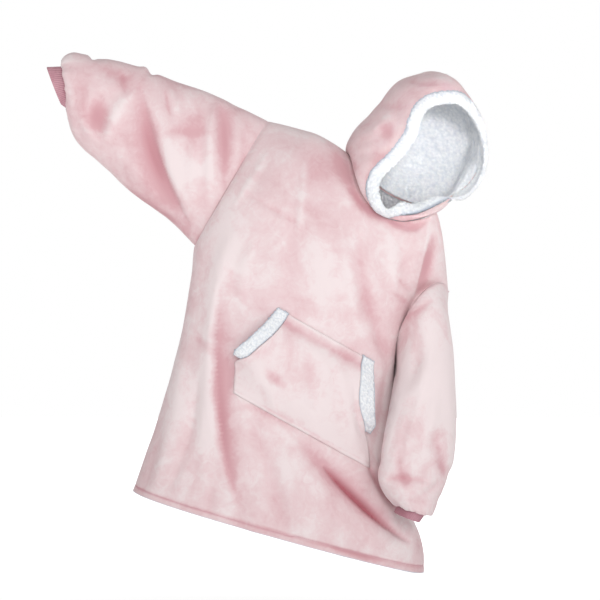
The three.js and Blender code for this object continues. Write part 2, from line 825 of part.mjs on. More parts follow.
// The sherpa band that finishes the face opening, a closed loop.
function rimBand() {
  const right = sheets.hood_right.grid;
  const left = sheets.hood_left.grid;
  const loop = [];
  for (let j = 0; j < rimSegments; j += 1) loop.push([right[j][0], right[j][1]]);
  for (let j = rimSegments; j > 0; j -= 1) loop.push([left[j][0], left[j][1]]);
  const n = loop.length;
  const middle = (hoodWall + liningGap + liningWall) / 2;
  const sections = loop.map(([edge, inside], i) => {
    const along = loop[(i + 1) % n][0].clone().sub(loop[(i + n - 1) % n][0]).normalize();
    const out = hoodNormal(edge);
    const away = along.clone().cross(out).normalize();
    if (away.dot(edge.clone().sub(inside)) < 0) away.negate();
    const start = edge.clone().addScaledVector(out, -middle).addScaledVector(away, bandGap(i, n));
    const outerSide = [];
    const innerSide = [];
    let from = start;
    let before = 0;
    bandSteps.forEach(([distance, degrees, half]) => {
      const turn = THREE.MathUtils.degToRad(degrees);
      const heading = away
        .clone()
        .multiplyScalar(Math.cos(turn))
        .addScaledVector(out, -Math.sin(turn));
      from = from.clone().addScaledVector(heading, distance - before);
      before = distance;
      const aside = out
        .clone()
        .multiplyScalar(Math.cos(turn))
        .addScaledVector(away, Math.sin(turn));
      outerSide.push(from.clone().addScaledVector(aside, half));
      innerSide.push(from.clone().addScaledVector(aside, -half));
    });
    return [...outerSide, ...innerSide.reverse()];
  });
  const places = [];
  const faces = [];
  const around = sections[0].length;
  for (const ring of sections) for (const p of ring) places.push(p.x, p.y, p.z);
  for (let i = 0; i < n; i += 1) {
    for (let k = 0; k < around; k += 1) {
      const a = i * around + k;
      const b = i * around + ((k + 1) % around);
      const c = ((i + 1) % n) * around + ((k + 1) % around);
      const d = ((i + 1) % n) * around + k;
      faces.push(a, b, c, a, c, d);
    }
  }
  return closedMesh("hood_band", places, faces, whiteSherpa);
}
garment.add(rimBand());

// Places on the front panel straight behind a point of the flat pocket.
function gridPlace(grid, fi, fj) {
  const rows = grid.length - 1;
  const cols = grid[0].length - 1;
  const j = Math.min(Math.floor(fj), rows - 1);
  const i = Math.min(Math.floor(fi), cols - 1);
  const a = grid[j][i].clone().lerp(grid[j][i + 1], fi - i);
  const b = grid[j + 1][i].clone().lerp(grid[j + 1][i + 1], fi - i);
  return a.lerp(b, fj - j);
}

function frontPlace(x, z) {
  const grid = sheets.front.grid;
  let best = [0, 0];
  let near = Infinity;
  for (let j = 0; j <= lowerRows; j += 1) {
    for (let i = 1; i < columns.length - 1; i += 1) {
      const off = Math.hypot(grid[j][i].x - x, grid[j][i].z - z);
      if (off < near) {
        near = off;
        best = [i, j];
      }
    }
  }
  let [fi, fj] = best;
  for (let round = 0; round < 30; round += 1) {
    const h = 0.01;
    const p = gridPlace(grid, fi, fj);
    const di = gridPlace(grid, fi + h, fj).sub(p).divideScalar(h);
    const dj = gridPlace(grid, fi, fj + h).sub(p).divideScalar(h);
    const det = di.x * dj.z - di.z * dj.x;
    const ex = x - p.x;
    const ez = z - p.z;
    fi = Math.min(Math.max(fi + (0.8 * (ex * dj.z - ez * dj.x)) / det, 1), columns.length - 2);
    fj = Math.min(Math.max(fj + (0.8 * (di.x * ez - di.z * ex)) / det, 0), lowerRows);
  }
  const h = 0.3;
  const p = gridPlace(grid, fi, fj);
  const di = gridPlace(grid, fi + h, fj).sub(gridPlace(grid, fi - h, fj));
  const dj = gridPlace(grid, fi, fj + h).sub(gridPlace(grid, fi, Math.max(fj - h, 0)));
  const out = di.cross(dj).normalize();
  if (out.y > 0) out.negate();
  return { p, out };
}

// Stand-off is small at the sewn edges and grows towards the pocket's middle and mouths.
function standOff(over, down) {
  const [outerRight, , , outerLeft] = columnsAt(pocketShape, down);
  const fromTop = THREE.MathUtils.smoothstep(down, 0, 70);
  const fromBottom = THREE.MathUtils.smoothstep(pocketHeight - down, 0, 60);
  const sideSewn = THREE.MathUtils.smoothstep(down, 135, 170);
  const inside = Math.min(over - outerRight, outerLeft - over);
  const inFromSide = THREE.MathUtils.smoothstep(inside, 0, 60);
  const side = 1 - sideSewn * (1 - inFromSide);
  return 1.9 + pocketPuff * fromTop * fromBottom * side;
}

function pocketPiece(name, material, wall, downs, edges, cells) {
  const outer = [];
  const inner = [];
  for (const down of downs) {
    const [from, to] = edges(columnsAt(pocketShape, down));
    const outerRow = [];
    const innerRow = [];
    for (let i = 0; i <= cells; i += 1) {
      const over = from + ((to - from) * i) / cells;
      const x = pocketTop.x + pocketAcross.x * over + pocketDown.x * down;
      const z = pocketTop.y + pocketAcross.y * over + pocketDown.y * down;
      const { p, out } = frontPlace(x, z);
      const off = standOff(over, down);
      innerRow.push(p.clone().addScaledVector(out, off));
      outerRow.push(p.clone().addScaledVector(out, off + wall));
    }
    outer.push(outerRow);
    inner.push(innerRow);
  }
  return solidBetween(name, outer, inner, false, material);
}

const trimGap = 0.5;
const pocketDowns = [0, 18, 38, 60, 82, 104, 122, 136, 148, 160, 172, 190, 212, 232];
const trimRightDowns = [-2, 20, 42, 64, 86, 106, 124, 140, trimRightEnd];
const trimLeftDowns = [-2, 20, 42, 64, 86, 108, 130, 150, trimLeftEnd];
garment.add(
  pocketPiece(
    "pocket",
    pinkPlush,
    pocketWall,
    pocketDowns,
    ([, innerRight, innerLeft]) => [innerRight + trimGap, innerLeft - trimGap],
    12,
  ),
);
garment.add(
  pocketPiece(
    "pocket_trim_right",
    whiteSherpa,
    trimWall,
    trimRightDowns,
    ([outerRight, innerRight]) => [outerRight, innerRight - trimGap],
    2,
  ),
);
garment.add(
  pocketPiece(
    "pocket_trim_left",
    whiteSherpa,
    trimWall,
    trimLeftDowns,
    ([, , innerLeft, outerLeft]) => [innerLeft + trimGap, outerLeft],
    2,
  ),
);

export default garment;
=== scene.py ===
import math

import bmesh
import bpy
import numpy as np
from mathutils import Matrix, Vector, noise
from mathutils.bvhtree import BVHTree


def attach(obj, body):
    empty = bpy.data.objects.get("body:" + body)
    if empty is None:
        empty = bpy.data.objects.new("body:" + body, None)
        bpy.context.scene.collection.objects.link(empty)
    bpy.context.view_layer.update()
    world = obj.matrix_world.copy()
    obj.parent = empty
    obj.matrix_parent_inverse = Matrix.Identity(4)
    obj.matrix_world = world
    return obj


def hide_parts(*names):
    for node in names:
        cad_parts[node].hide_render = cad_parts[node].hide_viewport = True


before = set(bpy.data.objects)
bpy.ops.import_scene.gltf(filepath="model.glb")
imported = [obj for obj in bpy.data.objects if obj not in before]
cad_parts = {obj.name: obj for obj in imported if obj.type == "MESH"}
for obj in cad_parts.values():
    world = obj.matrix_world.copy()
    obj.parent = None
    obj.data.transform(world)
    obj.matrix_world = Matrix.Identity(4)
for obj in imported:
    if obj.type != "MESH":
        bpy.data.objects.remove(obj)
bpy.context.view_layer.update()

# Sizes below are millimetres in the frame's axes: +X to the garment's own left, +Y to the back, +Z up.
MM = 0.001

# Where the sherpa's curls lie is drawn from this seed, so that every run makes the same ones.
noise.seed_set(7)

# The camera stands 5 m in front, level, as the photograph was taken.
camera_data = bpy.data.cameras.new("camera")
camera_data.lens = 125
camera_data.sensor_width = 36
camera = bpy.data.objects.new("camera", camera_data)
bpy.context.collection.objects.link(camera)
camera.location = (-0.2184, -5.0, -0.2832)
camera.rotation_euler = (math.radians(90), 0, 0)
bpy.context.scene.camera = camera
bpy.context.scene.view_settings.view_transform = "Standard"

cloth_wall = 4.5
hood_wall = 4.0
lining_gap = 0.6
lining_wall = 4.5
lining_backing = 1.6
cuff_wall = 2.6
trim_backing = 5.0
neck_split = 6
neck_segments = 10
side_segments = 8
lower_rows = 11
upper_rows = 10
rim_segments = 14
top_row = lower_rows + upper_rows
first_neck = side_segments
last_neck = side_segments + neck_segments

# Body below the armpits: share of the way up, right side seam, left side seam, front and back depth.
body_sections = [
    # up, rightX, rightY, rightZ, leftX, leftY, leftZ, front, back
    [0.0, -617, -10, -737, 79, 30, -936, 190, 185],
    [0.15, -590, -12, -660, 74, 38, -862, 192, 182],
    [0.3, -564, -14, -586, 40, 46, -782, 190, 178],
    [0.5, -528, -16, -468, 18, 66, -682, 186, 172],
    [0.75, -490, -18, -317, 14, 76, -548, 182, 165],
    [0.87, -478, -19, -240, 10, 70, -490, 181, 162],
    [1.0, -470, -20, -154, 11, 38, -427, 180, 160],
]
shoulder_line = [
    # x, y, z
    [-295, 0, 146],
    [-259, 2, 138],
    [-218, 4, 127],
    [-185, 4, 118],
    [-151, 4, 101],
    [-110, 5, 74],
    [0, 5, 0],
    [110, 5, -74],
    [122, 6, -118],
    [132, 8, -190],
    [139, 10, -262],
]
neck_from = (-110, 74)
neck_to = (110, -74)
# Neck edge: how far it drops below the shoulder line, its skew and its roundness.
front_neck = (85, 1.5, 0.85)
back_neck = (24, 1.0, 0.9)
neck_panel_drop = 371
armhole_depth = (62, 128)
left_armhole_lift = (-22, 58)

sleeve_right_rings = [
    # along, upX, upY, upZ, lowX, lowY, lowZ, half
    [0.0, -295, 0, 146, -470, -20, -154, 62],
    [0.15, -362, 0, 178, -506, -14, -113, 68],
    [0.3, -430, 0, 211, -554, -8, -74, 72],
    [0.5, -516, 0, 242, -624, 0, -26, 72],
    [0.7, -600, 0, 276, -689, 0, 38, 70],
    [0.85, -679, 0, 294, -737, 0, 79, 68],
    [0.94, -737, 0, 307, -763, 0, 110, 62],
    [1.0, -781, 0, 300, -770, 0, 137, 52],
    [1.04, -787, 0, 288, -775, 0, 156, 40],
    [1.08, -778, 0, 278, -767, 0, 168, 28],
]
sleeve_left_rings = [
    # along, upX, upY, upZ, lowX, lowY, lowZ, half
    [0.0, 139, 10, -262, 11, 38, -427, 128],
    [0.15, 137, -12, -330, 12, -46, -460, 102],
    [0.35, 140, -24, -405, 4, -96, -502, 84],
    [0.55, 141, -42, -511, -10, -134, -566, 72],
    [0.75, 141, -54, -619, -22, -164, -636, 62],
    [0.88, 134, -66, -680, -32, -172, -684, 58],
    [0.95, 116, -80, -720, -28, -170, -714, 56],
    [1.0, 100, -90, -748, -16, -162, -735, 54],
    [1.04, 92, -97, -773, -2, -154, -753, 50],
    [1.07, 80, -105, -785, 14, -146, -766, 47],
    [1.1, 70, -112, -774, 24, -140, -757, 44],
]
sleeve_right_stops = [
    0, 0.07, 0.16, 0.26, 0.36, 0.46, 0.56, 0.66, 0.76, 0.85, 0.92, 0.97, 1.01, 1.045, 1.08,
]
sleeve_left_stops = [
    0, 0.06, 0.14, 0.24, 0.34, 0.45, 0.56, 0.67, 0.78, 0.87, 0.94, 0.99, 1.035, 1.07, 1.1,
]
# Open ends of the cuffs: upper edge, lower edge, half depth.
cuff_right_end = [-826, 0, 276, -792, 0, 186, 25]
cuff_left_end = [54, -115, -799, 8, -141, -782, 42]

# Edge of the hood round the face opening, neck notch to crown.
rim_right = [
    # x, y, z
    [-52, -130, -66],
    [-67, -138, -26],
    [-55, -142, 18],
    [-12, -147, 62],
    [24, -152, 112],
    [36, -152, 152],
    [59, -146, 185],
    [95, -134, 203],
    [133, -118, 209],
]
rim_left = [
    # x, y, z
    [16, -113, -87],
    [60, -99, -80],
    [108, -70, -58],
    [152, -36, -32],
    [190, -8, 0],
    [215, 6, 44],
    [225, 4, 94],
    [221, -15, 134],
    [206, -50, 166],
    [184, -82, 191],
]
rim_top = [158, -104, 208]
crown_seam = [
    # x, y, z
    [148, -78, 236],
    [122, -38, 258],
    [82, 14, 264],
]
hood_corner = [36, 66, 232]
back_seam = [
    # x, y, z
    [6, 92, 184],
    [-12, 102, 116],
    [-12, 94, 50],
]
hood_fill_right = [
    # along, up, x, y, z, reach
    [0.35, 0.3, -4, -4, 0, 0.35],
    [0.7, 0.75, 4, 10, -2, 0.4],
]
hood_fill_left = [
    # along, up, x, y, z, reach
    [0.25, 0.25, -14, 0, 10, 0.3],
    [0.7, 0.1, 0, 0, 12, 0.2],
    [0.7, 0.6, 12, 16, 0, 0.4],
]
band_steps = [
    # distance, turn inwards in degrees, half thickness
    [0, 0, 4.4],
    [8, 12, 5.6],
    [16, 36, 6.2],
    [24, 58, 6],
    [30, 70, 4.2],
]

# Folds, a row each: the spine as three places across and up, breadth, height, softness
# (2 is a soft trough or ridge, 1 a sharp one), how many times broader it is on the
# left as the spine runs, and how much shade is painted on the pile in it. A trough has a
# height below nothing; a dark below nothing is a pale ridge, a painted highlight. A row
# whose height is nothing only paints shade on the pile, or light where its dark is below nothing.
folds = {
    "front": [
        # x1, z1, x2, z2, x3, z3, breadth, height, soft, side, dark
        [-376, -133, -420, -353, -439, -701, 26, 8, 2, 1, -0.8],
        [-402, -250, -408, -515, -364, -748, 11, -10, 1.6, 2.8, 1.7],
        [-78, -139, -58, -283, -12, -422, 20, -9, 2, 1, 0.8],
        [-232, -586, -112, -722, 16, -838, 26, -13, 2, 1, 0.9],
        [-500, -420, -512, -560, -560, -735, 24, 7, 2, 1, -0.3],
        [-300, -700, -318, -780, -322, -850, 24, 6, 2, 1, -0.3],
        [101, -129, 83, -193, 64, -262, 15, -4, 3, 1, 1.3],
        [88, -100, 74, -179, 50, -272, 4, 2, 2, 1, -0.9],
        [-158, -672, -80, -750, 36, -853, 8, -11, 1.3, 1, 2.2],
        [-60, -655, -46, -692, -20, -742, 8, -6, 1.3, 1, 1.2],
        [-24, -740, 8, -764, 40, -792, 11, -5, 1.6, 1, 1.2],
        [14, -232, 28, -248, 46, -262, 8, -4, 1.4, 1, 0.6],
        [4, -268, 20, -280, 37, -289, 8, -4, 1.4, 1, 0.6],
        [-330, -160, -352, -230, -352, -320, 16, 4, 2, 1, -0.3],
        [-228, -70, -236, -190, -226, -300, 20, -4, 2, 1, 0.3],
        [-180, -110, -176, -210, -160, -330, 18, 4, 2, 1, -0.4],
        [-120, -120, -108, -230, -84, -340, 14, 3, 2, 1, -0.4],
        [-10, -130, 0, -190, 6, -250, 16, 4, 2, 1, -0.6],
        [-456, -470, -476, -590, -520, -720, 14, -5, 1.8, 1, 0.3],
        [-545, -560, -560, -640, -590, -730, 16, -4, 2, 1, 0.3],
        [-260, -640, -236, -720, -190, -860, 22, 5, 2, 1, -0.2],
        [-330, -560, -290, -680, -240, -840, 18, -4, 2, 1, 0.4],
        [-150, -760, -110, -830, -60, -890, 16, 5, 2, 1, 0.1],
        [-20, -620, 10, -720, 50, -850, 20, 6, 2, 1, -0.1],
        [40, -700, 58, -780, 66, -880, 14, -4, 1.8, 1, 0.4],
        [-420, -720, -426, -750, -428, -790, 12, -4, 2, 1, 0.4],
        [-8, -440, -20, -520, -40, -610, 14, -4, 2, 1, 0.4],
        [-342, -34, -284, -69, -223, -106, 6, -3, 1.4, 1, 0.5],
        [-300, 60, -330, 6, -372, -60, 10, 3, 2, 1, -0.6],
        [-207, 38, -214, -50, -223, -122, 10, 4, 2, 1, -0.7],
        [-130, 66, -114, 15, -74, -62, 16, -2, 2, 1, 1.0],
        [-100, -24, -49, -79, 17, -107, 14, -3, 2, 1, 1.3],
        [-8, -99, 40, -113, 78, -99, 10, -3, 2, 1, 1.2],
        [-253, 92, -195, 45, -160, -49, 42, 0, 2, 1, 0.5],
        [-358, -521, -288, -551, -218, -591, 10, -3, 1.6, 1, 0.8],
        [-470, -372, -445, -385, -425, -402, 12, -1, 2, 1, 0.7],
        [-160, -850, -90, -876, -20, -894, 9, -1, 2, 1, 0.8],
        [26, -345, -6, -480, -46, -690, 10, 1, 2, 1, -0.9],
        [-60, -800, -6, -842, 44, -896, 26, 0, 2, 1, -0.6],
        [-120, -800, -60, -858, 10, -905, 18, 2, 2, 1, -0.4],
    ],
    "back": [
        # x1, z1, x2, z2, x3, z3, breadth, height, soft, side, dark
        [-330, -80, -372, -330, -400, -690, 26, 9, 2, 1, -0.7],
        [-250, -160, -275, -420, -300, -760, 16, -10, 1.7, 2, 1.0],
        [-120, -180, -118, -420, -150, -790, 26, 8, 2, 1, -0.6],
        [-40, -300, -20, -520, -10, -800, 16, -8, 1.8, 1.6, 0.8],
        [-480, -380, -500, -560, -530, -700, 20, -7, 2, 1, 0.7],
        [-190, 0, -60, -130, 60, -180, 20, -7, 1.8, 1, 0.7],
        [-350, -300, -372, -470, -380, -640, 10, -5, 1.4, 1, 0.6],
        [-210, -420, -220, -580, -226, -720, 10, -4, 1.5, 1, 0.5],
        [-70, -440, -64, -600, -74, -820, 12, -4, 1.6, 1, 0.5],
        [-430, -230, -452, -380, -470, -520, 14, 4, 2, 1, -0.4],
        [-160, -60, -190, -180, -196, -320, 16, 4, 2, 1, -0.4],
        [20, -360, 36, -520, 30, -700, 16, 5, 2, 1, -0.3],
        [-20, -110, 20, -220, 40, -330, 14, -4, 1.8, 1, 0.5],
        [-560, -560, -572, -640, -592, -716, 14, 4, 2, 1, -0.3],
        [-260, -30, -296, -110, -340, -180, 14, -4, 1.8, 1, 0.5],
        [-180, -640, -90, -740, 10, -840, 9, -7, 1.4, 1, 1.4],
        [-420, -560, -330, -660, -250, -780, 10, -5, 1.5, 1, 0.8],
    ],
    "sleeve_right_front": [
        # x1, z1, x2, z2, x3, z3, breadth, height, soft, side, dark
        [-588, 202, -543, 25, -484, -100, 40, -12, 1.7, 0.22, 1.4],
        [-560, 188, -518, 30, -470, -80, 11, 5, 2, 2, -0.8],
        [-612, 208, -650, 163, -676, 99, 18, 6, 2, 1, -0.8],
        [-692, 196, -697, 150, -702, 112, 26, -7, 3, 1, 1.0],
        [-798, 268, -776, 240, -762, 180, 16, 4, 2, 1, -0.8],
        [-706, 272, -656, 252, -610, 236, 18, -2, 2, 1, 0.7],
        [-540, 214, -532, 180, -526, 152, 6, -4, 1.5, 1, 0.7],
        [-524, 220, -514, 186, -506, 150, 8, 3, 2, 1, -0.5],
        [-546, 106, -491, 116, -436, 110, 14, -1, 2, 1, 0.7],
        [-424, 178, -434, 60, -424, -72, 12, 6, 2, 1, -0.8],
        [-402, 172, -396, 90, -399, -20, 15, -7, 2, 1, 1.0],
        [-370, 168, -366, 100, -372, 30, 9, 3, 2, 1, -0.4],
        [-586, 130, -570, 60, -548, 0, 9, -3, 1.6, 1, 0.3],
        [-640, 262, -638, 236, -630, 205, 8, -4, 1.4, 1, 0.5],
        [-352, 120, -350, 60, -360, -20, 12, -3, 2, 1, 0.4],
        [-470, 80, -474, 20, -466, -60, 16, 3, 2, 1, -0.5],
        [-650, 70, -610, 20, -566, -30, 20, 3, 2, 1, -0.4],
        [-740, 150, -726, 124, -700, 92, 10, 3, 2, 1, -0.4],
        [-640, -14, -560, -70, -484, -126, 12, -1, 2, 1, 0.9],
    ],
    "sleeve_right_back": [
        # x1, z1, x2, z2, x3, z3, breadth, height, soft, side, dark
        [-590, 210, -570, 100, -520, -30, 22, -9, 1.8, 1, 0.9],
        [-400, 150, -440, 60, -450, -60, 22, 7, 2, 1, -0.5],
        [-700, 230, -700, 150, -690, 100, 20, -7, 2, 1, 0.8],
        [-480, 200, -500, 110, -500, 0, 12, -5, 1.5, 1, 0.6],
        [-640, 250, -630, 170, -600, 80, 12, 4, 2, 1, -0.5],
        [-540, 220, -545, 160, -530, 90, 8, -4, 1.4, 1, 0.4],
        [-740, 250, -730, 200, -725, 150, 9, -4, 1.5, 1, 0.5],
        [-350, 130, -370, 40, -410, -50, 14, -5, 1.8, 1, 0.6],
    ],
    "sleeve_left_front": [
        # x1, z1, x2, z2, x3, z3, breadth, height, soft, side, dark
        [94, -283, 56, -306, 22, -336, 10, -9, 1.5, 1, 1.1],
        [-18, -702, 14, -694, 78, -704, 9, -8, 1.6, 1, 0.9],
        [118, -420, 60, -470, 10, -520, 24, 6, 2, 1, -0.5],
        [130, -580, 90, -610, 20, -640, 22, -5, 2, 1, 0.3],
        [110, -700, 90, -724, 50, -744, 10, -4, 1.6, 1, 0.4],
        [60, -360, 50, -430, 30, -500, 14, -4, 2, 1, 0.2],
        [94, -380, 72, -460, 46, -560, 12, 4, 2, 1, -0.6],
        [100, -500, 84, -570, 70, -650, 14, 4, 2, 1, -0.5],
        [30, -560, 20, -610, 10, -660, 10, -3, 1.8, 1, 0.3],
        [108, -664, 122, -682, 136, -700, 14, -2, 2, 1, 0.6],
        [24, -420, 8, -480, -6, -530, 8, 3, 2, 1, -0.6],
        [30, -744, 60, -752, 92, -750, 7, -3, 1.6, 1, 0.4],
        [40, -345, 12, -500, -24, -660, 9, 2, 2, 1, -1.0],
        [8, -640, 20, -690, 34, -716, 12, -3, 1.8, 1, 0.9],
        [98, -600, 108, -640, 118, -690, 12, -3, 1.8, 1, 0.7],
        [70, -300, 40, -350, 28, -420, 14, -2, 2, 1, 0.5],
    ],
    "sleeve_left_back": [
        # x1, z1, x2, z2, x3, z3, breadth, height, soft, side, dark
        [130, -330, 90, -360, 40, -420, 18, -8, 1.8, 1, 0.9],
        [140, -520, 90, -560, 30, -590, 24, 6, 2, 1, -0.5],
        [120, -680, 80, -690, 20, -700, 14, -7, 1.8, 1, 0.8],
        [120, -400, 100, -480, 90, -560, 12, -4, 1.8, 1, 0.5],
        [60, -460, 50, -540, 30, -620, 12, 4, 2, 1, -0.4],
        [130, -620, 90, -640, 40, -650, 8, -4, 1.4, 1, 0.5],
    ],
    "hood_right_front": [
        # x1, z1, x2, z2, x3, z3, breadth, height, soft, side, dark
        [-85, 60, -40, 48, 0, 62, 16, -5, 2, 1, 0.5],
        [-26, 134, -14, 112, -8, 88, 16, -3, 2, 1, 1.0],
        [-104, 46, -94, 30, -74, 8, 13, -2, 2, 1, 0.8],
        [-96, 30, -80, 0, -70, -40, 12, 3, 2, 1, -0.3],
        [-30, 190, 10, 170, 40, 176, 12, -3, 2, 1, 0.4],
        [-70, 104, -40, 120, -10, 150, 14, 3, 2, 1, -0.5],
        [40, 240, 80, 226, 130, 226, 10, -3, 2, 1, 0.5],
    ],
}

# Dents and bumps: where they are, how far they reach and how high they stand.
dents = {
    "sleeve_right": [
        # x, y, z, reach, height
        [-763, 0, 308, 18, 5],
        [-714, 0, 302, 9, -10],
        [-700, 0, 298, 16, -6],
        [-590, 0, 276, 11, 6],
        [-572, 0, 262, 10, -8],
        [-744, 0, 120, 14, -5],
        [-776, 10, 250, 14, 4],
        [-772, 0, 205, 12, -4],
    ],
    "sleeve_left": [
        # x, y, z, reach, height
        [126, -70, -690, 16, -4],
        [108, -86, -738, 12, 3],
        [-30, -160, -660, 16, -4],
    ],
}
# Painted shade in the folds' troughs is made this much deeper.
painted_shade_gain = 1.3
# Beside each trough stands a low lip, and beside each ridge a shallow dip.
lip_place = 1.7
lip_height = 0.22
gathered = {"sleeve_right": (46.0, 7.0), "sleeve_left": (34.0, 5.0)}

# Pocket, drawn flat: across from its middle and down from its top edge.
pocket_top = np.array([-156.5, -366.0])
pocket_across = np.array([0.87, -0.492])
pocket_down = np.array([-0.234, -0.972])
pocket_shape = [
    # down, outerRight, innerRight, innerLeft, outerLeft
    [-3, -129, -101, 97, 127],
    [20, -140, -108, 95, 128],
    [60, -160, -127, 94, 131],
    [100, -182, -151, 101, 141],
    [135, -203, -172, 118, 152],
    [152, -207, -189, 131, 156],
    [165, -203, -201, 143, 158],
    [178, -197, -197, 155, 161],
    [232, -187, -187, 179, 181],
]
pocket_height = 232
trim_right_end = 156
trim_left_end = 168
pocket_puff = 22
trim_wall = 7


def smooth_curve(points):
    """A centripetal curve through the points; it gives the place at a share of its length."""
    pts = np.array(points, float)
    held = np.vstack([2 * pts[0] - pts[1], pts, 2 * pts[-1] - pts[-2]])
    last = len(pts) - 1

    def at(t):
        i = min(int(t * last), last - 1)
        f = t * last - i
        p0, p1, p2, p3 = held[i : i + 4]
        d0, d1, d2 = (np.linalg.norm(b - a) ** 0.5 for a, b in ((p0, p1), (p1, p2), (p2, p3)))
        t1 = ((p1 - p0) / d0 - (p2 - p0) / (d0 + d1) + (p2 - p1) / d1) * d1
        t2 = ((p2 - p1) / d1 - (p3 - p1) / (d1 + d2) + (p3 - p2) / d2) * d1
        bend = -3 * p1 + 3 * p2 - 2 * t1 - t2
        return p1 + f * t1 + f * f * bend + f**3 * (2 * p1 - 2 * p2 + t1 + t2)

    stops = np.linspace(0, 1, 401)
    walked = np.linalg.norm(np.diff([at(t) for t in stops], axis=0), axis=1)
    walked = np.concatenate([[0], np.cumsum(walked)])
    return lambda share: at(float(np.interp(share * walked[-1], walked, stops)))


def spaced(points, count):
    line = smooth_curve(points)
    return np.array([line(k / count) for k in range(count + 1)])


def columns_at(table, at):
    """A table's columns at a place between its rows, on smooth curves."""
    t = np.array(table, float)
    row = 0
    while row < len(t) - 2 and at > t[row + 1][0]:
        row += 1
    a, b, c, d = t[max(row - 1, 0)], t[row], t[row + 1], t[min(row + 2, len(t) - 1)]
    span = c[0] - b[0]
    f = min(max((at - b[0]) / span, 0), 1)
    start = c[1:] - b[1:] if row == 0 else (c[1:] - a[1:]) / (c[0] - a[0]) * span
    end = c[1:] - b[1:] if row == len(t) - 2 else (d[1:] - b[1:]) / (d[0] - b[0]) * span
    f2, f3 = f * f, f**3
    rise = 2 * f3 - 3 * f2
    return (rise + 1) * b[1:] + (f3 - 2 * f2 + f) * start - rise * c[1:] + (f3 - f2) * end


def smooth(x, low=0.0, high=1.0):
    t = np.clip((np.asarray(x, float) - low) / (high - low), 0, 1)
    return t * t * (3 - 2 * t)


shoulder = smooth_curve(shoulder_line)
shoulder_places = np.array([shoulder(k / 1000) for k in range(1001)])


def shoulder_share(place):
    off = np.hypot(shoulder_places[:, 0] - place[0], shoulder_places[:, 2] - place[1])
    return int(np.argmin(off)) / 1000


def round_share(share):
    return math.acos(1 - 2 * share) / math.pi


def across(k):
    return (1 - math.cos(math.pi * k)) / 2


def fullness(k, power):
    return max(math.sin(math.pi * k), 0) ** power


def body_columns():
    """Each column of the panels: its place at the top, lower down, and along the neck."""
    share_from, share_to = shoulder_share(neck_from), shoulder_share(neck_to)
    k_from, k_to = round_share(share_from), round_share(share_to)
    low_from, low_to = round_share(0.22), round_share(0.84)
    made = []
    for i in range(side_segments):
        f = i / side_segments
        made.append((k_from * f, low_from * f, -1))
    for i in range(neck_segments + 1):
        f = i / neck_segments
        eased = 0.3 * f + 0.35 * (1 - math.cos(math.pi * f))
        share = share_from + (share_to - share_from) * eased
        made.append((round_share(share), low_from + (low_to - low_from) * f, eased))
    for i in range(1, side_segments + 1):
        f = i / side_segments
        made.append((k_to + (1 - k_to) * f, low_to + (1 - low_to) * f, -1))
    return made


columns = body_columns()


def body_point(column, v, side):
    """v runs from hem 0 to armpit 1 to shoulder 2; side is -1 at the front and 1 at the back."""
    at_top, at_low, at_neck = column
    if v <= 1:
        row = columns_at(body_sections, v)
        right, left, front, back = row[0:3], row[3:6], row[6], row[7]
        p = right + (left - right) * across(at_low)
        p[1] += side * (front if side < 0 else back) * fullness(at_low, 0.66)
        return p
    row = columns_at(body_sections, 1)
    right, left, front, back = row[0:3], row[3:6], row[6], row[7]
    turn = math.pi * (v - 1)
    w = (1 - math.cos(turn)) / 2
    k = at_low + (at_top - at_low) * w
    c = across(k)
    top = shoulder(across(at_top))
    drop_most, skew, roundness = front_neck if side < 0 else back_neck
    drop = 0.0
    if 0 < at_neck < 1:
        drop = drop_most * math.sin(math.pi * at_neck**skew) ** roundness
    top = top - np.array([0.56 * drop, 0, 0.83 * drop])
    reach = w * (1 - drop / neck_panel_drop)
    close = math.sqrt(max(1 - reach * reach, 0))
    full = fullness(k, 0.66 - 0.16 * w)
    edge = math.sin(turn) * (armhole_depth[0] * (1 - c) + armhole_depth[1] * c)
    middle = (front if side < 0 else back) * close
    low = right + (left - right) * across(at_low)
    p = low + (top - low) * w
    p[1] += side * (edge * (1 - full) ** 3 + middle * full)
    if side < 0:
        lift = math.sin(turn) * c**4
        p[0] += left_armhole_lift[0] * lift
        p[2] += left_armhole_lift[1] * lift
    return p


def body_grid(side):
    steps = [j / lower_rows for j in range(lower_rows + 1)]
    steps += [1 + j / upper_rows for j in range(1, upper_rows + 1)]
    rows = np.array([[body_point(column, v, side) for column in columns] for v in steps])
    last = len(columns) - 1
    for _ in range(10):
        before = rows.copy()
        for j in range(lower_rows - 3, lower_rows + 5):
            for i in range(1, last):
                share = 0.7 * min(min(i, last - i) / 4, 1)
                a, b, here = before[j - 1][i], before[j + 1][i], before[j][i]
                down, up = np.linalg.norm(here - a), np.linalg.norm(here - b)
                rows[j][i] = here + ((a * up + b * down) / (up + down) - here) * share
    return rows


def armhole_loop(front, back, column):
    loop = [front[lower_rows + j][column] for j in range(upper_rows, -1, -1)]
    loop += [back[lower_rows + j][column] for j in range(1, upper_rows)]
    return np.array(loop)


def ring_point(row, turn):
    up, low, half = row[0:3], row[3:6], row[6]
    arm = (up - low) / 2
    unit = arm / np.linalg.norm(arm)
    depth = np.array([0.0, 1.0, 0.0]) - unit * unit[1]
    depth /= np.linalg.norm(depth)
    return (up + low) / 2 + arm * math.cos(turn) - depth * math.sin(turn) * half


def sleeve_grid(loop, rings, stops):
    turns = [2 * math.pi * i / len(loop) for i in range(len(loop))]
    start = columns_at(rings, 0)
    rest = [p - ring_point(start, turn) for p, turn in zip(loop, turns)]
    grid = [loop]
    for along in stops[1:]:
        row = columns_at(rings, along)
        fade = 1 - smooth(along, 0, 0.35)
        grid.append([ring_point(row, turn) + r * fade for r, turn in zip(rest, turns)])
    return np.array(grid)


def cuff_grid(ring, end):
    n = len(ring)
    far = np.array([ring_point(np.array(end, float), 2 * math.pi * i / n) for i in range(n)])
    return np.array([ring + (far - ring) * f for f in (0, 0.35, 0.7, 1)])


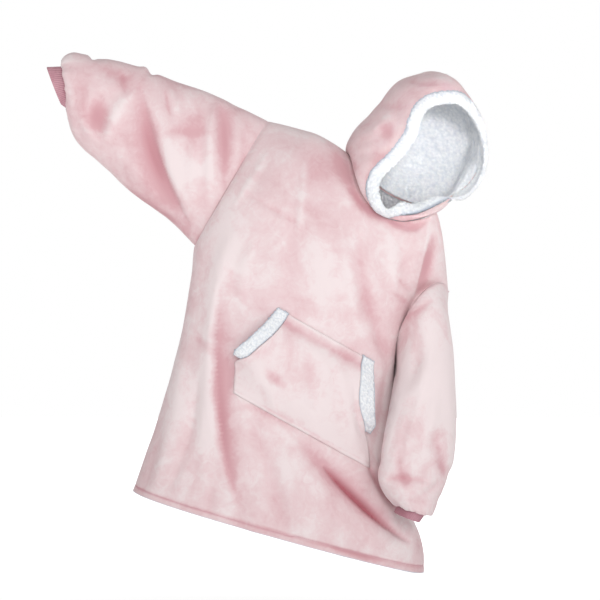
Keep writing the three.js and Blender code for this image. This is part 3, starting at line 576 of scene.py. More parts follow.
def coons(bottom, top, front, back):
    nu, nv = len(bottom) - 1, len(front) - 1
    grid = np.zeros((nv + 1, nu + 1, 3))
    for j in range(nv + 1):
        v = j / nv
        for i in range(nu + 1):
            u = i / nu
            p = bottom[i] * (1 - v) + top[i] * v + front[j] * (1 - u) + back[j] * u
            p = p - bottom[0] * (1 - u) * (1 - v) - bottom[nu] * u * (1 - v)
            grid[j, i] = p - top[0] * (1 - u) * v - top[nu] * u * v
    return grid


def fill_out(grid, fills):
    v, u = np.meshgrid(np.linspace(0, 1, grid.shape[0]), np.linspace(0, 1, grid.shape[1]), indexing="ij")
    edge = np.minimum(16 * u * (1 - u) * v * (1 - v), 1)
    for along, up, x, y, z, reach in fills:
        share = edge * np.exp(-((np.hypot(u - along, v - up) / reach) ** 2))
        grid = grid + share[..., None] * np.array([x, y, z], float)
    return grid


front_base = body_grid(-1)
back_base = body_grid(1)
for j in range(top_row + 1):
    for i in range(len(columns)):
        side_seam = j <= lower_rows and i in (0, len(columns) - 1)
        shoulder_seam = j == top_row and (i <= first_neck or i >= last_neck)
        if side_seam or shoulder_seam:
            back_base[j, i] = front_base[j, i]

neck_front = front_base[top_row, first_neck : last_neck + 1]
neck_back = back_base[top_row, first_neck : last_neck + 1]
neck_middle = neck_segments - neck_split
bottom_right = np.vstack([neck_front[neck_split::-1], neck_back[1 : neck_middle + 1]])
bottom_left = np.vstack([neck_front[neck_split:], neck_back[neck_segments - 1 : neck_middle - 1 : -1]])
seam_up = spaced([neck_back[neck_middle], *back_seam[::-1], hood_corner], rim_segments)


def hood_grid(bottom, rim, fills):
    front = spaced([neck_front[neck_split], *rim, rim_top], rim_segments)
    over = spaced([rim_top, *crown_seam, hood_corner], len(bottom) - 1)
    return fill_out(coons(bottom, over, front, seam_up), fills)


hood_right_base = hood_grid(bottom_right, rim_right, hood_fill_right)
hood_left_base = hood_grid(bottom_left, rim_left, hood_fill_left)
armhole_right = armhole_loop(front_base, back_base, 0)
armhole_left = armhole_loop(front_base, back_base, -1)
sleeve_right_base = sleeve_grid(armhole_right, sleeve_right_rings, sleeve_right_stops)
sleeve_left_base = sleeve_grid(armhole_left, sleeve_left_rings, sleeve_left_stops)


def between(values, places):
    """Rows on smooth curves through the given rows; the first and last rows only steer."""
    gaps = np.maximum(np.linalg.norm(np.diff(values, axis=0), axis=2).mean(axis=1), 1e-6)
    slopes = np.diff(values, axis=0) / gaps[:, None, None]
    before, after = gaps[:-1, None, None], gaps[1:, None, None]
    lean = (slopes[:-1] * after + slopes[1:] * before) / (before + after)
    knots = np.concatenate([[0], np.cumsum(gaps[1:-1])])
    stops = np.interp(places, np.arange(len(knots)), knots)
    at = np.clip(np.searchsorted(knots, stops, side="right") - 1, 0, len(knots) - 2)
    span = (knots[at + 1] - knots[at])[:, None, None]
    f = (stops - knots[at])[:, None, None] / span
    rise = f * f * (3 - 2 * f)
    start, end = f * (1 - f) ** 2 * span, f * f * (f - 1) * span
    inner = values[1:-1]
    return inner[at] * (1 - rise) + inner[at + 1] * rise + lean[at] * start + lean[at + 1] * end


def framed(grid, left=None, right=None, bottom=None, top=None):
    """The grid with one more row or column all round, from a neighbour or carried straight on."""
    wide = np.zeros((grid.shape[0] + 2, grid.shape[1] + 2, 3))
    wide[1:-1, 1:-1] = grid
    wide[1:-1, 0] = 2 * grid[:, 0] - grid[:, 1]
    wide[1:-1, -1] = 2 * grid[:, -1] - grid[:, -2]
    for at, given in ((0, left), (-1, right)):
        if given is not None:
            n = len(given)
            wide[1 : n + 1, at] = given
    wide[0, :] = 2 * wide[1, :] - wide[2, :]
    wide[-1, :] = 2 * wide[-2, :] - wide[-3, :]
    for at, given in ((0, bottom), (-1, top)):
        if given is not None:
            known = ~np.isnan(given[:, 0])
            wide[at, 1:-1][known] = given[known]
    return wide


def steps_for(grid, axis, step, seam=True):
    """Places along an axis a given step apart, closer together beside the seams."""
    gaps = np.linalg.norm(np.diff(grid, axis=axis), axis=2)
    mean = gaps.mean(axis=1 - axis)
    walked = np.concatenate([[0], np.cumsum(mean)])
    count = max(int(round(walked[-1] / step)), 4)
    stops = np.linspace(0, walked[-1], count + 1)
    if seam:
        close = step * np.array([0.3, 0.65])
        stops = np.sort(np.concatenate([stops, close, walked[-1] - close]))
    return np.interp(stops, walked, np.arange(len(walked)))


def finer(grid, step, ring=False, **beside):
    if ring:
        closed = np.concatenate([grid, grid[:, :1]], axis=1)
        beside = {"left": grid[:, -1], "right": closed[:, 1]}
        up_at = steps_for(closed, 0, step)
        across_at = steps_for(closed, 1, step, seam=False)
        wide = framed(closed, **beside)
    else:
        up_at = steps_for(grid, 0, step)
        across_at = steps_for(grid, 1, step)
        wide = framed(grid, **beside)
    rows = between(wide, up_at)
    made = between(rows.transpose(1, 0, 2), across_at).transpose(1, 0, 2)
    if ring:
        made[:, -1] = made[:, 0]
    return made, up_at, across_at


def normals_of(grid, out, ring=False):
    """Outward directions of a grid. out is 1 or -1, as its rows and columns turn."""
    if ring:
        grid = np.concatenate([grid[:, -2:-1], grid, grid[:, 1:2]], axis=1)
    n = np.cross(np.gradient(grid, axis=1), np.gradient(grid, axis=0)) * out
    n /= np.maximum(np.linalg.norm(n, axis=2, keepdims=True), 1e-9)
    return n[:, 1:-1] if ring else n


def walked_lengths(grid, axis):
    gaps = np.linalg.norm(np.diff(grid, axis=axis), axis=2)
    zero = np.zeros_like(np.take(gaps, [0], axis=axis))
    return np.concatenate([zero, np.cumsum(gaps, axis=axis)], axis=axis)


def edge_distance(grid, ring=False, sides=("left", "right", "bottom", "top")):
    """How far each place of a grid is from its nearest sewn edge."""
    up, over = walked_lengths(grid, 0), walked_lengths(grid, 1)
    far = [np.full(grid.shape[:2], 1e6)]
    if "bottom" in sides:
        far.append(up)
    if "top" in sides:
        far.append(up[-1:] - up)
    if not ring and "left" in sides:
        far.append(over)
    if not ring and "right" in sides:
        far.append(over[:, -1:] - over)
    return np.min(far, axis=0)


def folding(grid, normals, table, facing):
    """How far the folds of one face move each place out, and how much shade is painted on the pile there."""
    move, dark = np.zeros(grid.shape[:2]), np.zeros(grid.shape[:2])
    t = np.linspace(0, 1, 49)[:, None]
    seen = smooth(normals[..., 1] * facing, -0.1, 0.35)
    flat = grid[..., [0, 2]].reshape(-1, 2)
    for x1, z1, x2, z2, x3, z3, breadth, height, soft, side, painted_dark in table:
        a, c = np.array([x1, z1]), np.array([x3, z3])
        b = 2 * np.array([x2, z2]) - (a + c) / 2
        spine = (1 - t) ** 2 * a + 2 * t * (1 - t) * b + t * t * c
        off = np.linalg.norm(flat[:, None] - spine[None], axis=2)
        nearest = off.argmin(axis=1)
        aside = flat - spine[nearest]
        run = np.gradient(spine, axis=0)[nearest]
        on_left = run[:, 0] * aside[:, 1] - run[:, 1] * aside[:, 0] > 0
        end = np.sin(np.pi * (0.04 + 0.92 * nearest / 48)) ** 0.6
        wide = breadth * (0.35 + 0.65 * end) * np.where(on_left, side, 1.0)
        near = off.min(axis=1)
        one, two = near / wide, near / wide - lip_place
        shape = end * np.exp(-(one**soft))
        move += (height * (shape - lip_height * end * np.exp(-two * two))).reshape(move.shape)
        # Painted shade in the troughs, and a painted highlight on the ridges where dark is below nothing.
        dark += (painted_dark * (painted_shade_gain if painted_dark > 0 else 1) * shape).reshape(move.shape)
    return move * seen, dark * seen


def run_on(made, out_dirs, sewn, ring):
    """Sewn edges run on a little under their neighbour, so that no gap opens at a seam."""
    for edge, inner, key in ((0, 1, "bottom"), (-1, -2, "top")):
        if key in sewn:
            way = made[edge] - made[inner]
            way /= np.maximum(np.linalg.norm(way, axis=1, keepdims=True), 1e-6)
            made[edge] += 1.5 * way - 0.5 * out_dirs[edge]
    for edge, inner, key in ((0, 1, "left"), (-1, -2, "right")):
        if key in sewn and not ring:
            way = made[:, edge] - made[:, inner]
            way /= np.maximum(np.linalg.norm(way, axis=1, keepdims=True), 1e-6)
            made[:, edge] += 1.5 * way - 0.5 * out_dirs[:, edge]


def dented(grid, table):
    """Soft dents and bumps about a place, long from front to back, so that the outline shows them."""
    move = np.zeros(grid.shape[:2])
    for x, y, z, reach, height in table:
        off = np.linalg.norm((grid - np.array([x, y, z], float)) * np.array([1, 0.25, 1]), axis=2)
        move += height * np.exp(-((off / reach) ** 2))
    return move


def gathers(grid, seed, reach, height):
    """Uneven gathers that run up a sleeve from its sewn end."""
    up = walked_lengths(grid, 0)
    from_end = up[-1:] - up
    turns = np.linspace(0, 2 * math.pi, grid.shape[1])
    wave = [noise.noise(Vector((2.7 * math.cos(a), 2.7 * math.sin(a), seed))) for a in turns]
    fine = [noise.noise(Vector((5.4 * math.cos(a), 5.4 * math.sin(a), seed))) for a in turns]
    shape = np.array(wave)[None] + 0.4 * np.array(fine)[None]
    return height * shape * np.exp(-((from_end / reach) ** 1.5)) * smooth(from_end, 0, 9)


def slow_waves(grid, size, seed):
    """Soft unevenness of hanging cloth, longer up and down than across."""
    flat = grid.reshape(-1, 3)
    made = [
        noise.noise(Vector((x / size + seed, y / size, z / (2.2 * size)))) for x, y, z in flat
    ]
    return np.array(made).reshape(grid.shape[:2])


def object_from(bm, name, materials=()):
    """An object made from a finished bmesh, at the origin."""
    for face in bm.faces:
        face.smooth = True
    mesh = bpy.data.meshes.new(name)
    bm.to_mesh(mesh)
    bm.free()
    for material in materials:
        mesh.materials.append(material)
    made = bpy.data.objects.new(name, mesh)
    bpy.context.collection.objects.link(made)
    return made


def cloth_object(name, grid, ring=False, both=False, flip=False, marks=None, materials=(), plain=None):
    """A sheet made from a plain grid that is laid on the given places, with a UV map in metres."""
    rows, cols = grid.shape[:2]
    bm = bmesh.new()
    uv = bm.loops.layers.uv.new("UVMap")
    bmesh.ops.create_grid(bm, x_segments=cols - 1, y_segments=rows - 1, size=1)
    bm.verts.ensure_lookup_table()
    places = (grid * MM).reshape(-1, 3)
    over = (walked_lengths(grid, 1) * MM).ravel()
    up = (walked_lengths(grid, 0) * MM).ravel()
    marks = dict(marks or {})
    thins = marks.pop("wall", None)
    layers = {k: bm.verts.layers.float.new(k) for k in marks}
    flat_marks = {k: np.asarray(v).ravel() for k, v in marks.items()}
    weights = bm.verts.layers.deform.verify() if thins is not None else None
    for face in bm.faces:
        if plain is not None and all(plain.flat[vert.index] for vert in face.verts):
            face.material_index = 2
        for loop in face.loops:
            i = loop.vert.index
            loop[uv].uv = (over[i], up[i])
    for i, vert in enumerate(bm.verts):
        vert.co = places[i]
        for k, layer in layers.items():
            vert[layer] = flat_marks[k][i]
        if weights is not None:
            vert[weights][0] = float(thins.flat[i])
    joined = []
    if ring:
        for j in range(rows):
            joined += [bm.verts[j * cols], bm.verts[j * cols + cols - 1]]
    if both:
        for i in range(cols):
            joined += [bm.verts[i], bm.verts[(rows - 1) * cols + i]]
    if joined:
        bmesh.ops.remove_doubles(bm, verts=list(dict.fromkeys(joined)), dist=1e-6)
    if flip:
        bmesh.ops.reverse_faces(bm, faces=bm.faces)
    made = object_from(bm, name, materials)
    if weights is not None:
        made.vertex_groups.new(name="wall")
    return made


def faces_out(grid, out):
    """True if the grid's own faces point along its outward directions."""
    j, i = grid.shape[0] // 2, grid.shape[1] // 2
    own = np.cross(grid[j, i + 1] - grid[j, i], grid[j + 1, i] - grid[j, i])
    return float(own @ out[j, i]) > 0


def walled(piece, thick, inner=0):
    """A wall that grows inwards, thinner beside sewn edges; its inner face takes its own material."""
    wall = piece.modifiers.new("wall", "SOLIDIFY")
    wall.thickness = thick * MM
    wall.offset = -1
    wall.material_offset = inner
    if piece.vertex_groups:
        wall.vertex_group = "wall"
        wall.thickness_vertex_group = 0.12
    return piece


def placed(piece, node):
    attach(piece, "root")
    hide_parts(node)
    return piece


# Materials


def fill_in(tree, node, values):
    """Gives a node's inputs their values, or joins them to other nodes' outputs."""
    for key, value in values.items():
        if isinstance(value, bpy.types.NodeSocket):
            tree.links.new(value, node.inputs[key])
        else:
            node.inputs[key].default_value = value
    return node


def own_place(tree):
    return tree.nodes.new("ShaderNodeTexCoord").outputs["Object"]


def mark(tree, name):
    """The value that the cloth's own points carry under a name."""
    made = tree.nodes.new("ShaderNodeAttribute")
    made.attribute_name = name
    return made.outputs["Fac"]


def grouped(tree, group, **values):
    made = tree.nodes.new("ShaderNodeGroup")
    made.node_tree = group
    return fill_in(tree, made, values)


def mixed(tree, share, a, b, blend="MIX"):
    """Colour a turning into colour b by a share."""
    made = tree.nodes.new("ShaderNodeMix")
    made.data_type = "RGBA"
    made.blend_type = blend
    return fill_in(tree, made, {"Factor": share, "A": a, "B": b}).outputs["Result"]


def blended(tree, share, a, b):
    values = {"Factor": share, "A": a, "B": b}
    return fill_in(tree, tree.nodes.new("ShaderNodeMix"), values).outputs["Result"]


def mapped(tree, value, low=0.0, high=1.0, to_low=0.0, to_high=1.0, eased=False):
    """A value carried from one range to another."""
    made = tree.nodes.new("ShaderNodeMapRange")
    if eased:
        made.interpolation_type = "SMOOTHSTEP"
    values = {"Value": value, "From Min": low, "From Max": high, "To Min": to_low, "To Max": to_high}
    return fill_in(tree, made, values).outputs["Result"]


def reckoned(tree, operation, *terms):
    made = tree.nodes.new("ShaderNodeMath")
    made.operation = operation
    return fill_in(tree, made, dict(enumerate(terms))).outputs["Value"]


def clouds(tree, place, size, detail, roughness, distortion=0.0):
    values = {
        "Vector": place, "Scale": size, "Detail": detail, "Roughness": roughness, "Distortion": distortion,
    }
    return fill_in(tree, tree.nodes.new("ShaderNodeTexNoise"), values).outputs["Fac"]


def new_group(name, given, output, kind):
    """A node group with the inputs given and one output, and the sockets at its two ends."""
    group = bpy.data.node_groups.new(name, "ShaderNodeTree")
    for key, value in given.items():
        own_kind = "NodeSocketColor" if isinstance(value, tuple) else "NodeSocketFloat"
        made = group.interface.new_socket(name=key, in_out="INPUT", socket_type=own_kind)
        made.default_value = value
    group.interface.new_socket(name=output, in_out="OUTPUT", socket_type=kind)
    start, end = group.nodes.new("NodeGroupInput"), group.nodes.new("NodeGroupOutput")
    return group, start.outputs, end.inputs[output]


def fuzz_group():
    """Short brushed fibres: an even height with fine, slightly combed grain."""
    group, given, out = new_group("fuzz", {"Size": 700.0, "Clump": 160.0}, "Height", "NodeSocketFloat")
    place = own_place(group)
    fine = clouds(group, place, given["Size"], 3, 0.7)
    clump = clouds(group, place, given["Clump"], 4, 0.6, 0.8)
    group.links.new(blended(group, 0.55, fine, clump), out)
    return group


def mottle_group():
    """The cloudy patches of a brushed pile, where the fibres lie one way or the other."""
    values = {
        "Light": (0.83, 0.72, 0.725, 1), "Middle": (0.78, 0.6, 0.615, 1), "Dark": (0.67, 0.4, 0.43, 1),
        "Size": 9.0, "Lean": 0.0,
    }
    group, given, out = new_group("mottle", values, "Color", "NodeSocketColor")
    place = own_place(group)
    large = clouds(group, place, given["Size"], 5, 0.58, 0.7)
    small = clouds(group, place, 46, 5, 0.62, 1.2)
    both = blended(group, 0.3, large, small)
    # The painted light input shifts the patches lighter, or darker below nothing: painted light and shade
    # laid over the pile's own patches.
    nap_and_painted_light = reckoned(group, "MULTIPLY_ADD", both, cloud_strength, given["Lean"])
    dark = mapped(group, nap_and_painted_light, 0.1, 0.34, eased=True)
    light = mapped(group, nap_and_painted_light, 0.3, 0.44, eased=True)
    low = mixed(group, dark, given["Dark"], given["Middle"])
    group.links.new(mixed(group, light, low, given["Light"]), out)
    return group


cloud_strength = 0.72
# How far the painted shade darkens the pile's patches.
painted_shade_strength = -0.17
fuzz = fuzz_group()
mottle = mottle_group()


def new_material(name, roughness, sheen, sheen_roughness=0.5):
    made = bpy.data.materials.new(name)
    made.use_nodes = True
    shader = made.node_tree.nodes["Principled BSDF"]
    shader.inputs["Roughness"].default_value = roughness
    shader.inputs["Sheen Weight"].default_value = sheen
    shader.inputs["Sheen Roughness"].default_value = sheen_roughness
    shader.inputs["Specular IOR Level"].default_value = 0.25
    return made, made.node_tree, shader


def finished(tree, shader, colour, height=None, strength=0.5, distance=0.0):
    """Lays the colour on the shader, and the height as a bump."""
    tree.links.new(colour, shader.inputs["Base Color"])
    if height is not None:
        values = {"Strength": strength, "Distance": distance, "Height": height}
        bump = fill_in(tree, tree.nodes.new("ShaderNodeBump"), values)
        tree.links.new(bump.outputs["Normal"], shader.inputs["Normal"])


def plush_material():
    """Pink brushed plush: cloudy pile, with shade painted in the troughs and along the seams and a deep
    painted shadow in the deepest folds.
    """
    made, tree, shader = new_material("plush_pile", 0.9, 0.1)
    painted_shade = mark(tree, "painted_shade")
    # The pile's patches, with the painted shade laid over them.
    pile = grouped(tree, mottle, Lean=reckoned(tree, "MULTIPLY", painted_shade, painted_shade_strength))
    # Painted deep shadow where the painted shade is deepest.
    depth = mapped(tree, painted_shade, 1.3, 3.3, to_high=0.8)
    painted_dark = mixed(tree, depth, pile.outputs["Color"], (0.4, 0.08, 0.11, 1))
    edged = mixed(tree, mark(tree, "edge"), painted_dark, (0.7, 0.74, 0.82, 1))
    fibres = grouped(tree, fuzz, Size=650, Clump=120).outputs["Height"]
    finished(tree, shader, edged, fibres, 0.5, 0.0012)
    return made


def sherpa_material():
    """White curly pile: paler on the curls, with a cool grey painted shade between them."""
    made, tree, shader = new_material("white_sherpa", 0.95, 0.2)
    # Cool grey painted shade in the gaps between the curls.
    tone = mixed(tree, mark(tree, "curl"), (0.7, 0.735, 0.785, 1), (0.97, 0.975, 0.98, 1))
    fibres = grouped(tree, fuzz, Size=900, Clump=260).outputs["Height"]
    speck = mixed(tree, 0.35, tone, mapped(tree, fibres, 0.35, 0.55, to_low=0.85), "MULTIPLY")
    shaded = mixed(tree, mark(tree, "shade"), speck, (0.3, 0.35, 0.44, 1))
    finished(tree, shader, shaded, fibres, 0.7, 0.0015)
    return made


def inner_sherpa_material():
    """The same pile on the inside of the panels, where the curls are pressed flatter."""
    made, tree, shader = new_material("inner_sherpa", 0.95, 0.15)
    cells = tree.nodes.new("ShaderNodeTexVoronoi")
    far = fill_in(tree, cells, {"Vector": own_place(tree), "Scale": 150}).outputs["Distance"]
    # Greyer towards the edges of each cell: painted shade between the pressed curls.
    tone = mixed(tree, far, (0.93, 0.93, 0.94, 1), (0.66, 0.68, 0.72, 1))
    finished(tree, shader, tone, reckoned(tree, "MULTIPLY", far, -1), 0.9, 0.003)
    return made


def knit_material():
    """Dusky ribbed knit of the cuffs."""
    made, tree, shader = new_material("dusky_rib", 0.85, 0.1)
    yarn = grouped(
        tree, mottle, Light=(0.68, 0.4, 0.45, 1), Middle=(0.6, 0.32, 0.37, 1), Dark=(0.5, 0.24, 0.29, 1),
        Size=24,
    )
    # Painted shade in the hollows between the ribs.
    painted_shade_between_ribs = mapped(tree, mark(tree, "rib"), to_low=0.8, to_high=0.0)
    tone = mixed(tree, painted_shade_between_ribs, yarn.outputs["Color"], (0.62, 0.5, 0.55, 1), "MULTIPLY")
    fibres = grouped(tree, fuzz, Size=1200, Clump=500).outputs["Height"]
    finished(tree, shader, tone, fibres, 0.5, 0.0006)
    return made


def thread_material():
    made, tree, shader = new_material("pink_thread", 0.6, 0.1, 0.4)
    fibres = grouped(tree, fuzz, Size=2400, Clump=900).outputs["Height"]
    finished(tree, shader, mixed(tree, fibres, (0.55, 0.3, 0.36, 1), (0.72, 0.46, 0.52, 1)))
    return made


plush = plush_material()
sherpa = sherpa_material()
inner_sherpa = inner_sherpa_material()
knit = knit_material()
thread = thread_material()

# Body panels and sleeves

seam_depth = 1.1
seam_reach = 7.0
fold_fade = 70.0
wave_fade = 40.0
large_wave = (3.0, 95.0)  # height and size
small_wave = (1.2, 34.0)
# Painted shade from the waves, the gathers and the seams, and the range the painted shade is kept in.
wave_painted_shade = 9.0
gather_painted_shade = 4.0
painted_shade_range = (-1.2, 3.4)
seam_painted_shade = 0.25
hem_stitch_line = 16.0
hem_stitch_depth = 1.6


def dressed(
    name, grid, out, ring=False, sewn=("left", "right", "bottom", "top"), tables=(), seed=0.0, hem=False,
    lean=0.0,
):
    """Folds, unevenness and seam grooves laid on a sheet's form, with marks for the shade and light painted
    on its pile.
    """
    out_dirs = normals_of(grid, out, ring)
    far = edge_distance(grid, ring, sewn)
    keep = smooth(far, 0, fold_fade)
    move, dark = np.zeros(far.shape), np.zeros(far.shape)
    for table, facing in tables:
        one_move, one_dark = folding(grid, out_dirs, table, facing)
        move += one_move
        dark += one_dark
    waves = large_wave[0] * slow_waves(grid, large_wave[1], seed)
    waves += small_wave[0] * slow_waves(grid, small_wave[1], seed + 7)
    groove = seam_depth * np.exp(-((far / seam_reach) ** 1.5))
    move = move * keep + waves * smooth(far, 0, wave_fade)
    move += dented(grid, dents.get(name, ())) * smooth(far, 0, 8)
    if name in gathered:
        reach, height = gathered[name]
        gather = gathers(grid, seed, reach, height)
        move += gather
        # Painted shade in the gathers' hollows, painted light on their crests.
        dark -= gather / gather_painted_shade
    # Painted shade in the folds, shade painted where the slow waves sink in and light where they stand out,
    # and lean, which shifts the painted shade of the whole sheet.
    painted_shade = np.clip(dark - waves / wave_painted_shade, *painted_shade_range) + lean
    # Painted shade along the seams.
    painted_shade += seam_painted_shade * np.exp(-((far / 8.0) ** 2))
    marks = {"painted_shade": painted_shade, "wall": smooth(far, 1, 14)}
    if hem:
        above = walked_lengths(grid, 0)
        line = np.exp(-(((above - hem_stitch_line) / 2.6) ** 2))
        groove = groove + hem_stitch_depth * line
        # Painted shade in the hem's stitch groove, and the hem band below it painted darker as well.
        painted_shade += 1.2 * line + 0.5 * smooth(hem_stitch_line + 4 - above, 0, 6)
        marks["edge"] = np.exp(-((above / 1.6) ** 2))
    made = grid + out_dirs * (move - groove)[..., None]
    run_on(made, out_dirs, sewn, ring)
    if ring:
        made[:, -1] = made[:, 0]
    return made, out_dirs, marks


body_step = 4.6
nothing = np.full((len(columns), 3), np.nan)
over_shoulder = {}
for key, other in (("front", back_base), ("back", front_base)):
    row = nothing.copy()
    row[: first_neck + 1] = other[top_row - 1, : first_neck + 1]
    row[last_neck:] = other[top_row - 1, last_neck:]
    over_shoulder[key] = row

fine_front, front_rows, _ = finer(
    front_base, body_step,
    left=back_base[: lower_rows + 1, 1], right=back_base[: lower_rows + 1, -2], top=over_shoulder["front"],
)
fine_back, back_rows, _ = finer(
    back_base, body_step,
    left=front_base[: lower_rows + 1, 1], right=front_base[: lower_rows + 1, -2], top=over_shoulder["back"],
)
sewn_body = ("left", "right", "top")
# lean paints the front and back panels a little darker, as painted shade.
front_grid, front_out, front_marks = dressed(
    "front", fine_front, 1, sewn=sewn_body, tables=[(folds["front"], -1)], seed=1.0, hem=True, lean=0.1,
)
back_grid, back_out, back_marks = dressed(
    "back", fine_back, -1, sewn=sewn_body, tables=[(folds["back"], 1)], seed=4.0, hem=True, lean=0.15,
)


def cloth_panel(
    name, grid, out_dirs, marks, ring=False, wall=cloth_wall, inner=1, plain=None,
):
    own = faces_out(grid, out_dirs)
    piece = cloth_object(
        name + "_cloth", grid, ring=ring, flip=not own, marks=marks, plain=plain,
        materials=(plush, inner_sherpa, plush, plush),
    )
    walled(piece, wall, inner)
    placed(piece, name)


def beside_left_armhole(fine, rows):
    """Where a panel is turned in along the left armhole and faced with its own pile."""
    return (edge_distance(fine, sides=("right",)) < 40) & (rows[:, None] > lower_rows - 0.5)


front_faced = beside_left_armhole(fine_front, front_rows)
back_faced = beside_left_armhole(fine_back, back_rows)
cloth_panel("front", front_grid, front_out, front_marks, plain=front_faced)
cloth_panel("back", back_grid, back_out, back_marks, plain=back_faced)

sleeve_step = 4.2
for side, base, sign in (("right", sleeve_right_base, -1), ("left", sleeve_left_base, 1)):
    fine, _, _ = finer(base, sleeve_step, ring=True)
    tables = [(folds[f"sleeve_{side}_front"], -1), (folds[f"sleeve_{side}_back"], 1)]
    # lean paints the raised right sleeve darker, as painted shade, and the left sleeve lighter, as painted
    # light.
    grid, out_dirs, marks = dressed(
        f"sleeve_{side}", fine, sign, ring=True, sewn=("bottom", "top"), tables=tables, seed=9.0 + sign,
        lean=0.4 if side == "right" else -0.3,
    )
    cloth_panel(f"sleeve_{side}", grid, out_dirs, marks, ring=True, inner=0)

# Cuffs

rib_count = {"right": 44, "left": 48}
cuff_ends = {"right": cuff_right_end, "left": cuff_left_end}
# The left cuff is folded under in shade: its painted shade between the ribs is made deeper, which paints the
# whole cuff darker.
cuff_painted_light = {"right": 1.0, "left": 0.3}
for side, base, sign in (("right", sleeve_right_base, -1), ("left", sleeve_left_base, 1)):
    rough = cuff_grid(base[-1], cuff_ends[side])
    fine, _, _ = finer(rough, 1.6, ring=True)
    out_dirs = normals_of(fine, sign, ring=True)
    turn = np.linspace(0, 2 * np.pi * rib_count[side], fine.shape[1])[None]
    rib = 0.5 + 0.5 * np.cos(turn)
    rib = np.repeat(rib, fine.shape[0], axis=0)
    grid = fine + out_dirs * (0.9 * (rib - 1))[..., None]
    grid[:, -1] = grid[:, 0]
    rib = rib * cuff_painted_light[side]
    piece = cloth_object(
        f"cuff_{side}_knit", grid, ring=True, flip=not faces_out(grid, out_dirs), marks={"rib": rib},
        materials=(knit,),
    )
    walled(piece, cuff_wall)
    placed(piece, f"cuff_{side}")
    around = float(walked_lengths(rough[-1:], 1).max()) * MM * 1.05

# Hood

hood_step = 3.6
for side, base, other, sign in (
    ("right", hood_right_base, hood_left_base, -1),
    ("left", hood_left_base, hood_right_base, 1),
):
    fine, _, _ = finer(base, hood_step, right=other[:, -2], top=other[-2])
    tables = [(folds["hood_right_front"], -1)] if side == "right" else []
    # lean paints the hood a little darker, as painted shade.
    grid, out_dirs, marks = dressed(
        f"hood_{side}", fine, sign, sewn=("left", "right", "bottom", "top"), tables=tables, seed=20.0 + sign,
        lean=0.3,
    )
    cloth_panel(f"hood_{side}", grid, out_dirs, marks, wall=hood_wall, inner=0)


def curls(grid, size, seed):
    """Round curls of the pile: 1 on a curl's crown, 0 in the gaps."""
    flat = grid.reshape(-1, 3)
    made = np.zeros(len(flat))
    for i, (x, y, z) in enumerate(flat):
        p = Vector((x / size + seed, y / size, z / size))
        far = noise.voronoi(p + noise.noise_vector(p * 0.7) * 0.35)[0]
        made[i] = max(1 - 1.1 * far[0], 0) + 0.25 * noise.noise(p * 2.1)
    return np.clip(made, 0, 1).reshape(grid.shape[:2])


def curly(name, grid, out_dirs, size, height, seed, ring=False, both=False, wall=None, drop=0.6, shade=0.0):
    """A sherpa piece: curls stand up from its form, and its form sinks to make room for them."""
    curl = curls(grid, size, seed)
    if ring:
        curl[:, -1] = curl[:, 0]
    if both:
        curl[-1, :] = curl[0, :]
    made = grid + out_dirs * (height * (curl - drop))[..., None]
    if ring:
        made[:, -1] = made[:, 0]
    if both:
        made[-1, :] = made[0, :]
    own = faces_out(grid, out_dirs)
    piece = cloth_object(
        name, made, ring=ring, both=both, flip=not own, marks={"curl": curl, "shade": curl * 0 + shade},
        materials=(sherpa,),
    )
    if wall:
        walled(piece, wall)
    return piece


lining_step = 2.6
corner_reach, corner_pull = 24, 0.12
for side, base, other, sign in (
    ("right", hood_right_base, hood_left_base, -1),
    ("left", hood_left_base, hood_right_base, 1),
):
    fine, _, _ = finer(base, lining_step, right=other[:, -2], top=other[-2])
    out_dirs = normals_of(fine, sign)
    near = edge_distance(fine, sides=("bottom",))
    inner = fine - out_dirs * (hood_wall + lining_gap + lining_backing)
    corner = np.exp(-((np.linalg.norm(fine - fine[-1, -1], axis=2) / corner_reach) ** 2))
    inner = inner + (fine.mean(axis=(0, 1)) - inner) * corner_pull * corner[..., None]
    keep_rows = near.mean(axis=1) > 1.5
    inner, out_dirs = inner[keep_rows], out_dirs[keep_rows]
    piece = curly(
        f"hood_lining_{side}_sherpa", inner, -out_dirs, 7.5, 3.4, 3.0 + sign, drop=0.15, wall=lining_backing,
    )
    placed(piece, f"hood_lining_{side}")


def rim_band():
    """The band round the face opening, as a closed ring of closed sections."""
    right, left = hood_right_base, hood_left_base
    right_out, left_out = normals_of(right, -1), normals_of(left, 1)
    loop = [(right[j, 0], right[j, 1], right_out[j, 0]) for j in range(rim_segments)]
    loop += [(left[j, 0], left[j, 1], left_out[j, 0]) for j in range(rim_segments, 0, -1)]
    n = len(loop)
    middle = (hood_wall + lining_gap + lining_wall) / 2
    sections = []
    for i, (edge, inside, _) in enumerate(loop):
        along = loop[(i + 1) % n][0] - loop[i - 1][0]
        along = along / np.linalg.norm(along)
        out = sum(loop[(i + k) % n][2] * w for k, w in ((-1, 0.25), (0, 0.5), (1, 0.25)))
        out = out - along * (out @ along)
        out /= np.linalg.norm(out)
        away = np.cross(along, out)
        if away @ (edge - inside) < 0:
            away = -away
        stand = 2.2 if i <= 3 or i >= n - 7 else 0.6
        place = edge - out * middle + away * stand
        outer_side, inner_side = [], []
        before = 0
        for distance, degrees, half in band_steps:
            turn = math.radians(degrees)
            heading = away * math.cos(turn) - out * math.sin(turn)
            place = place + heading * (distance - before)
            before = distance
            aside = out * math.cos(turn) + away * math.sin(turn)
            outer_side.append(place + aside * half)
            inner_side.append(place - aside * half)
        sections.append(outer_side + inner_side[::-1])
    return np.array(sections)


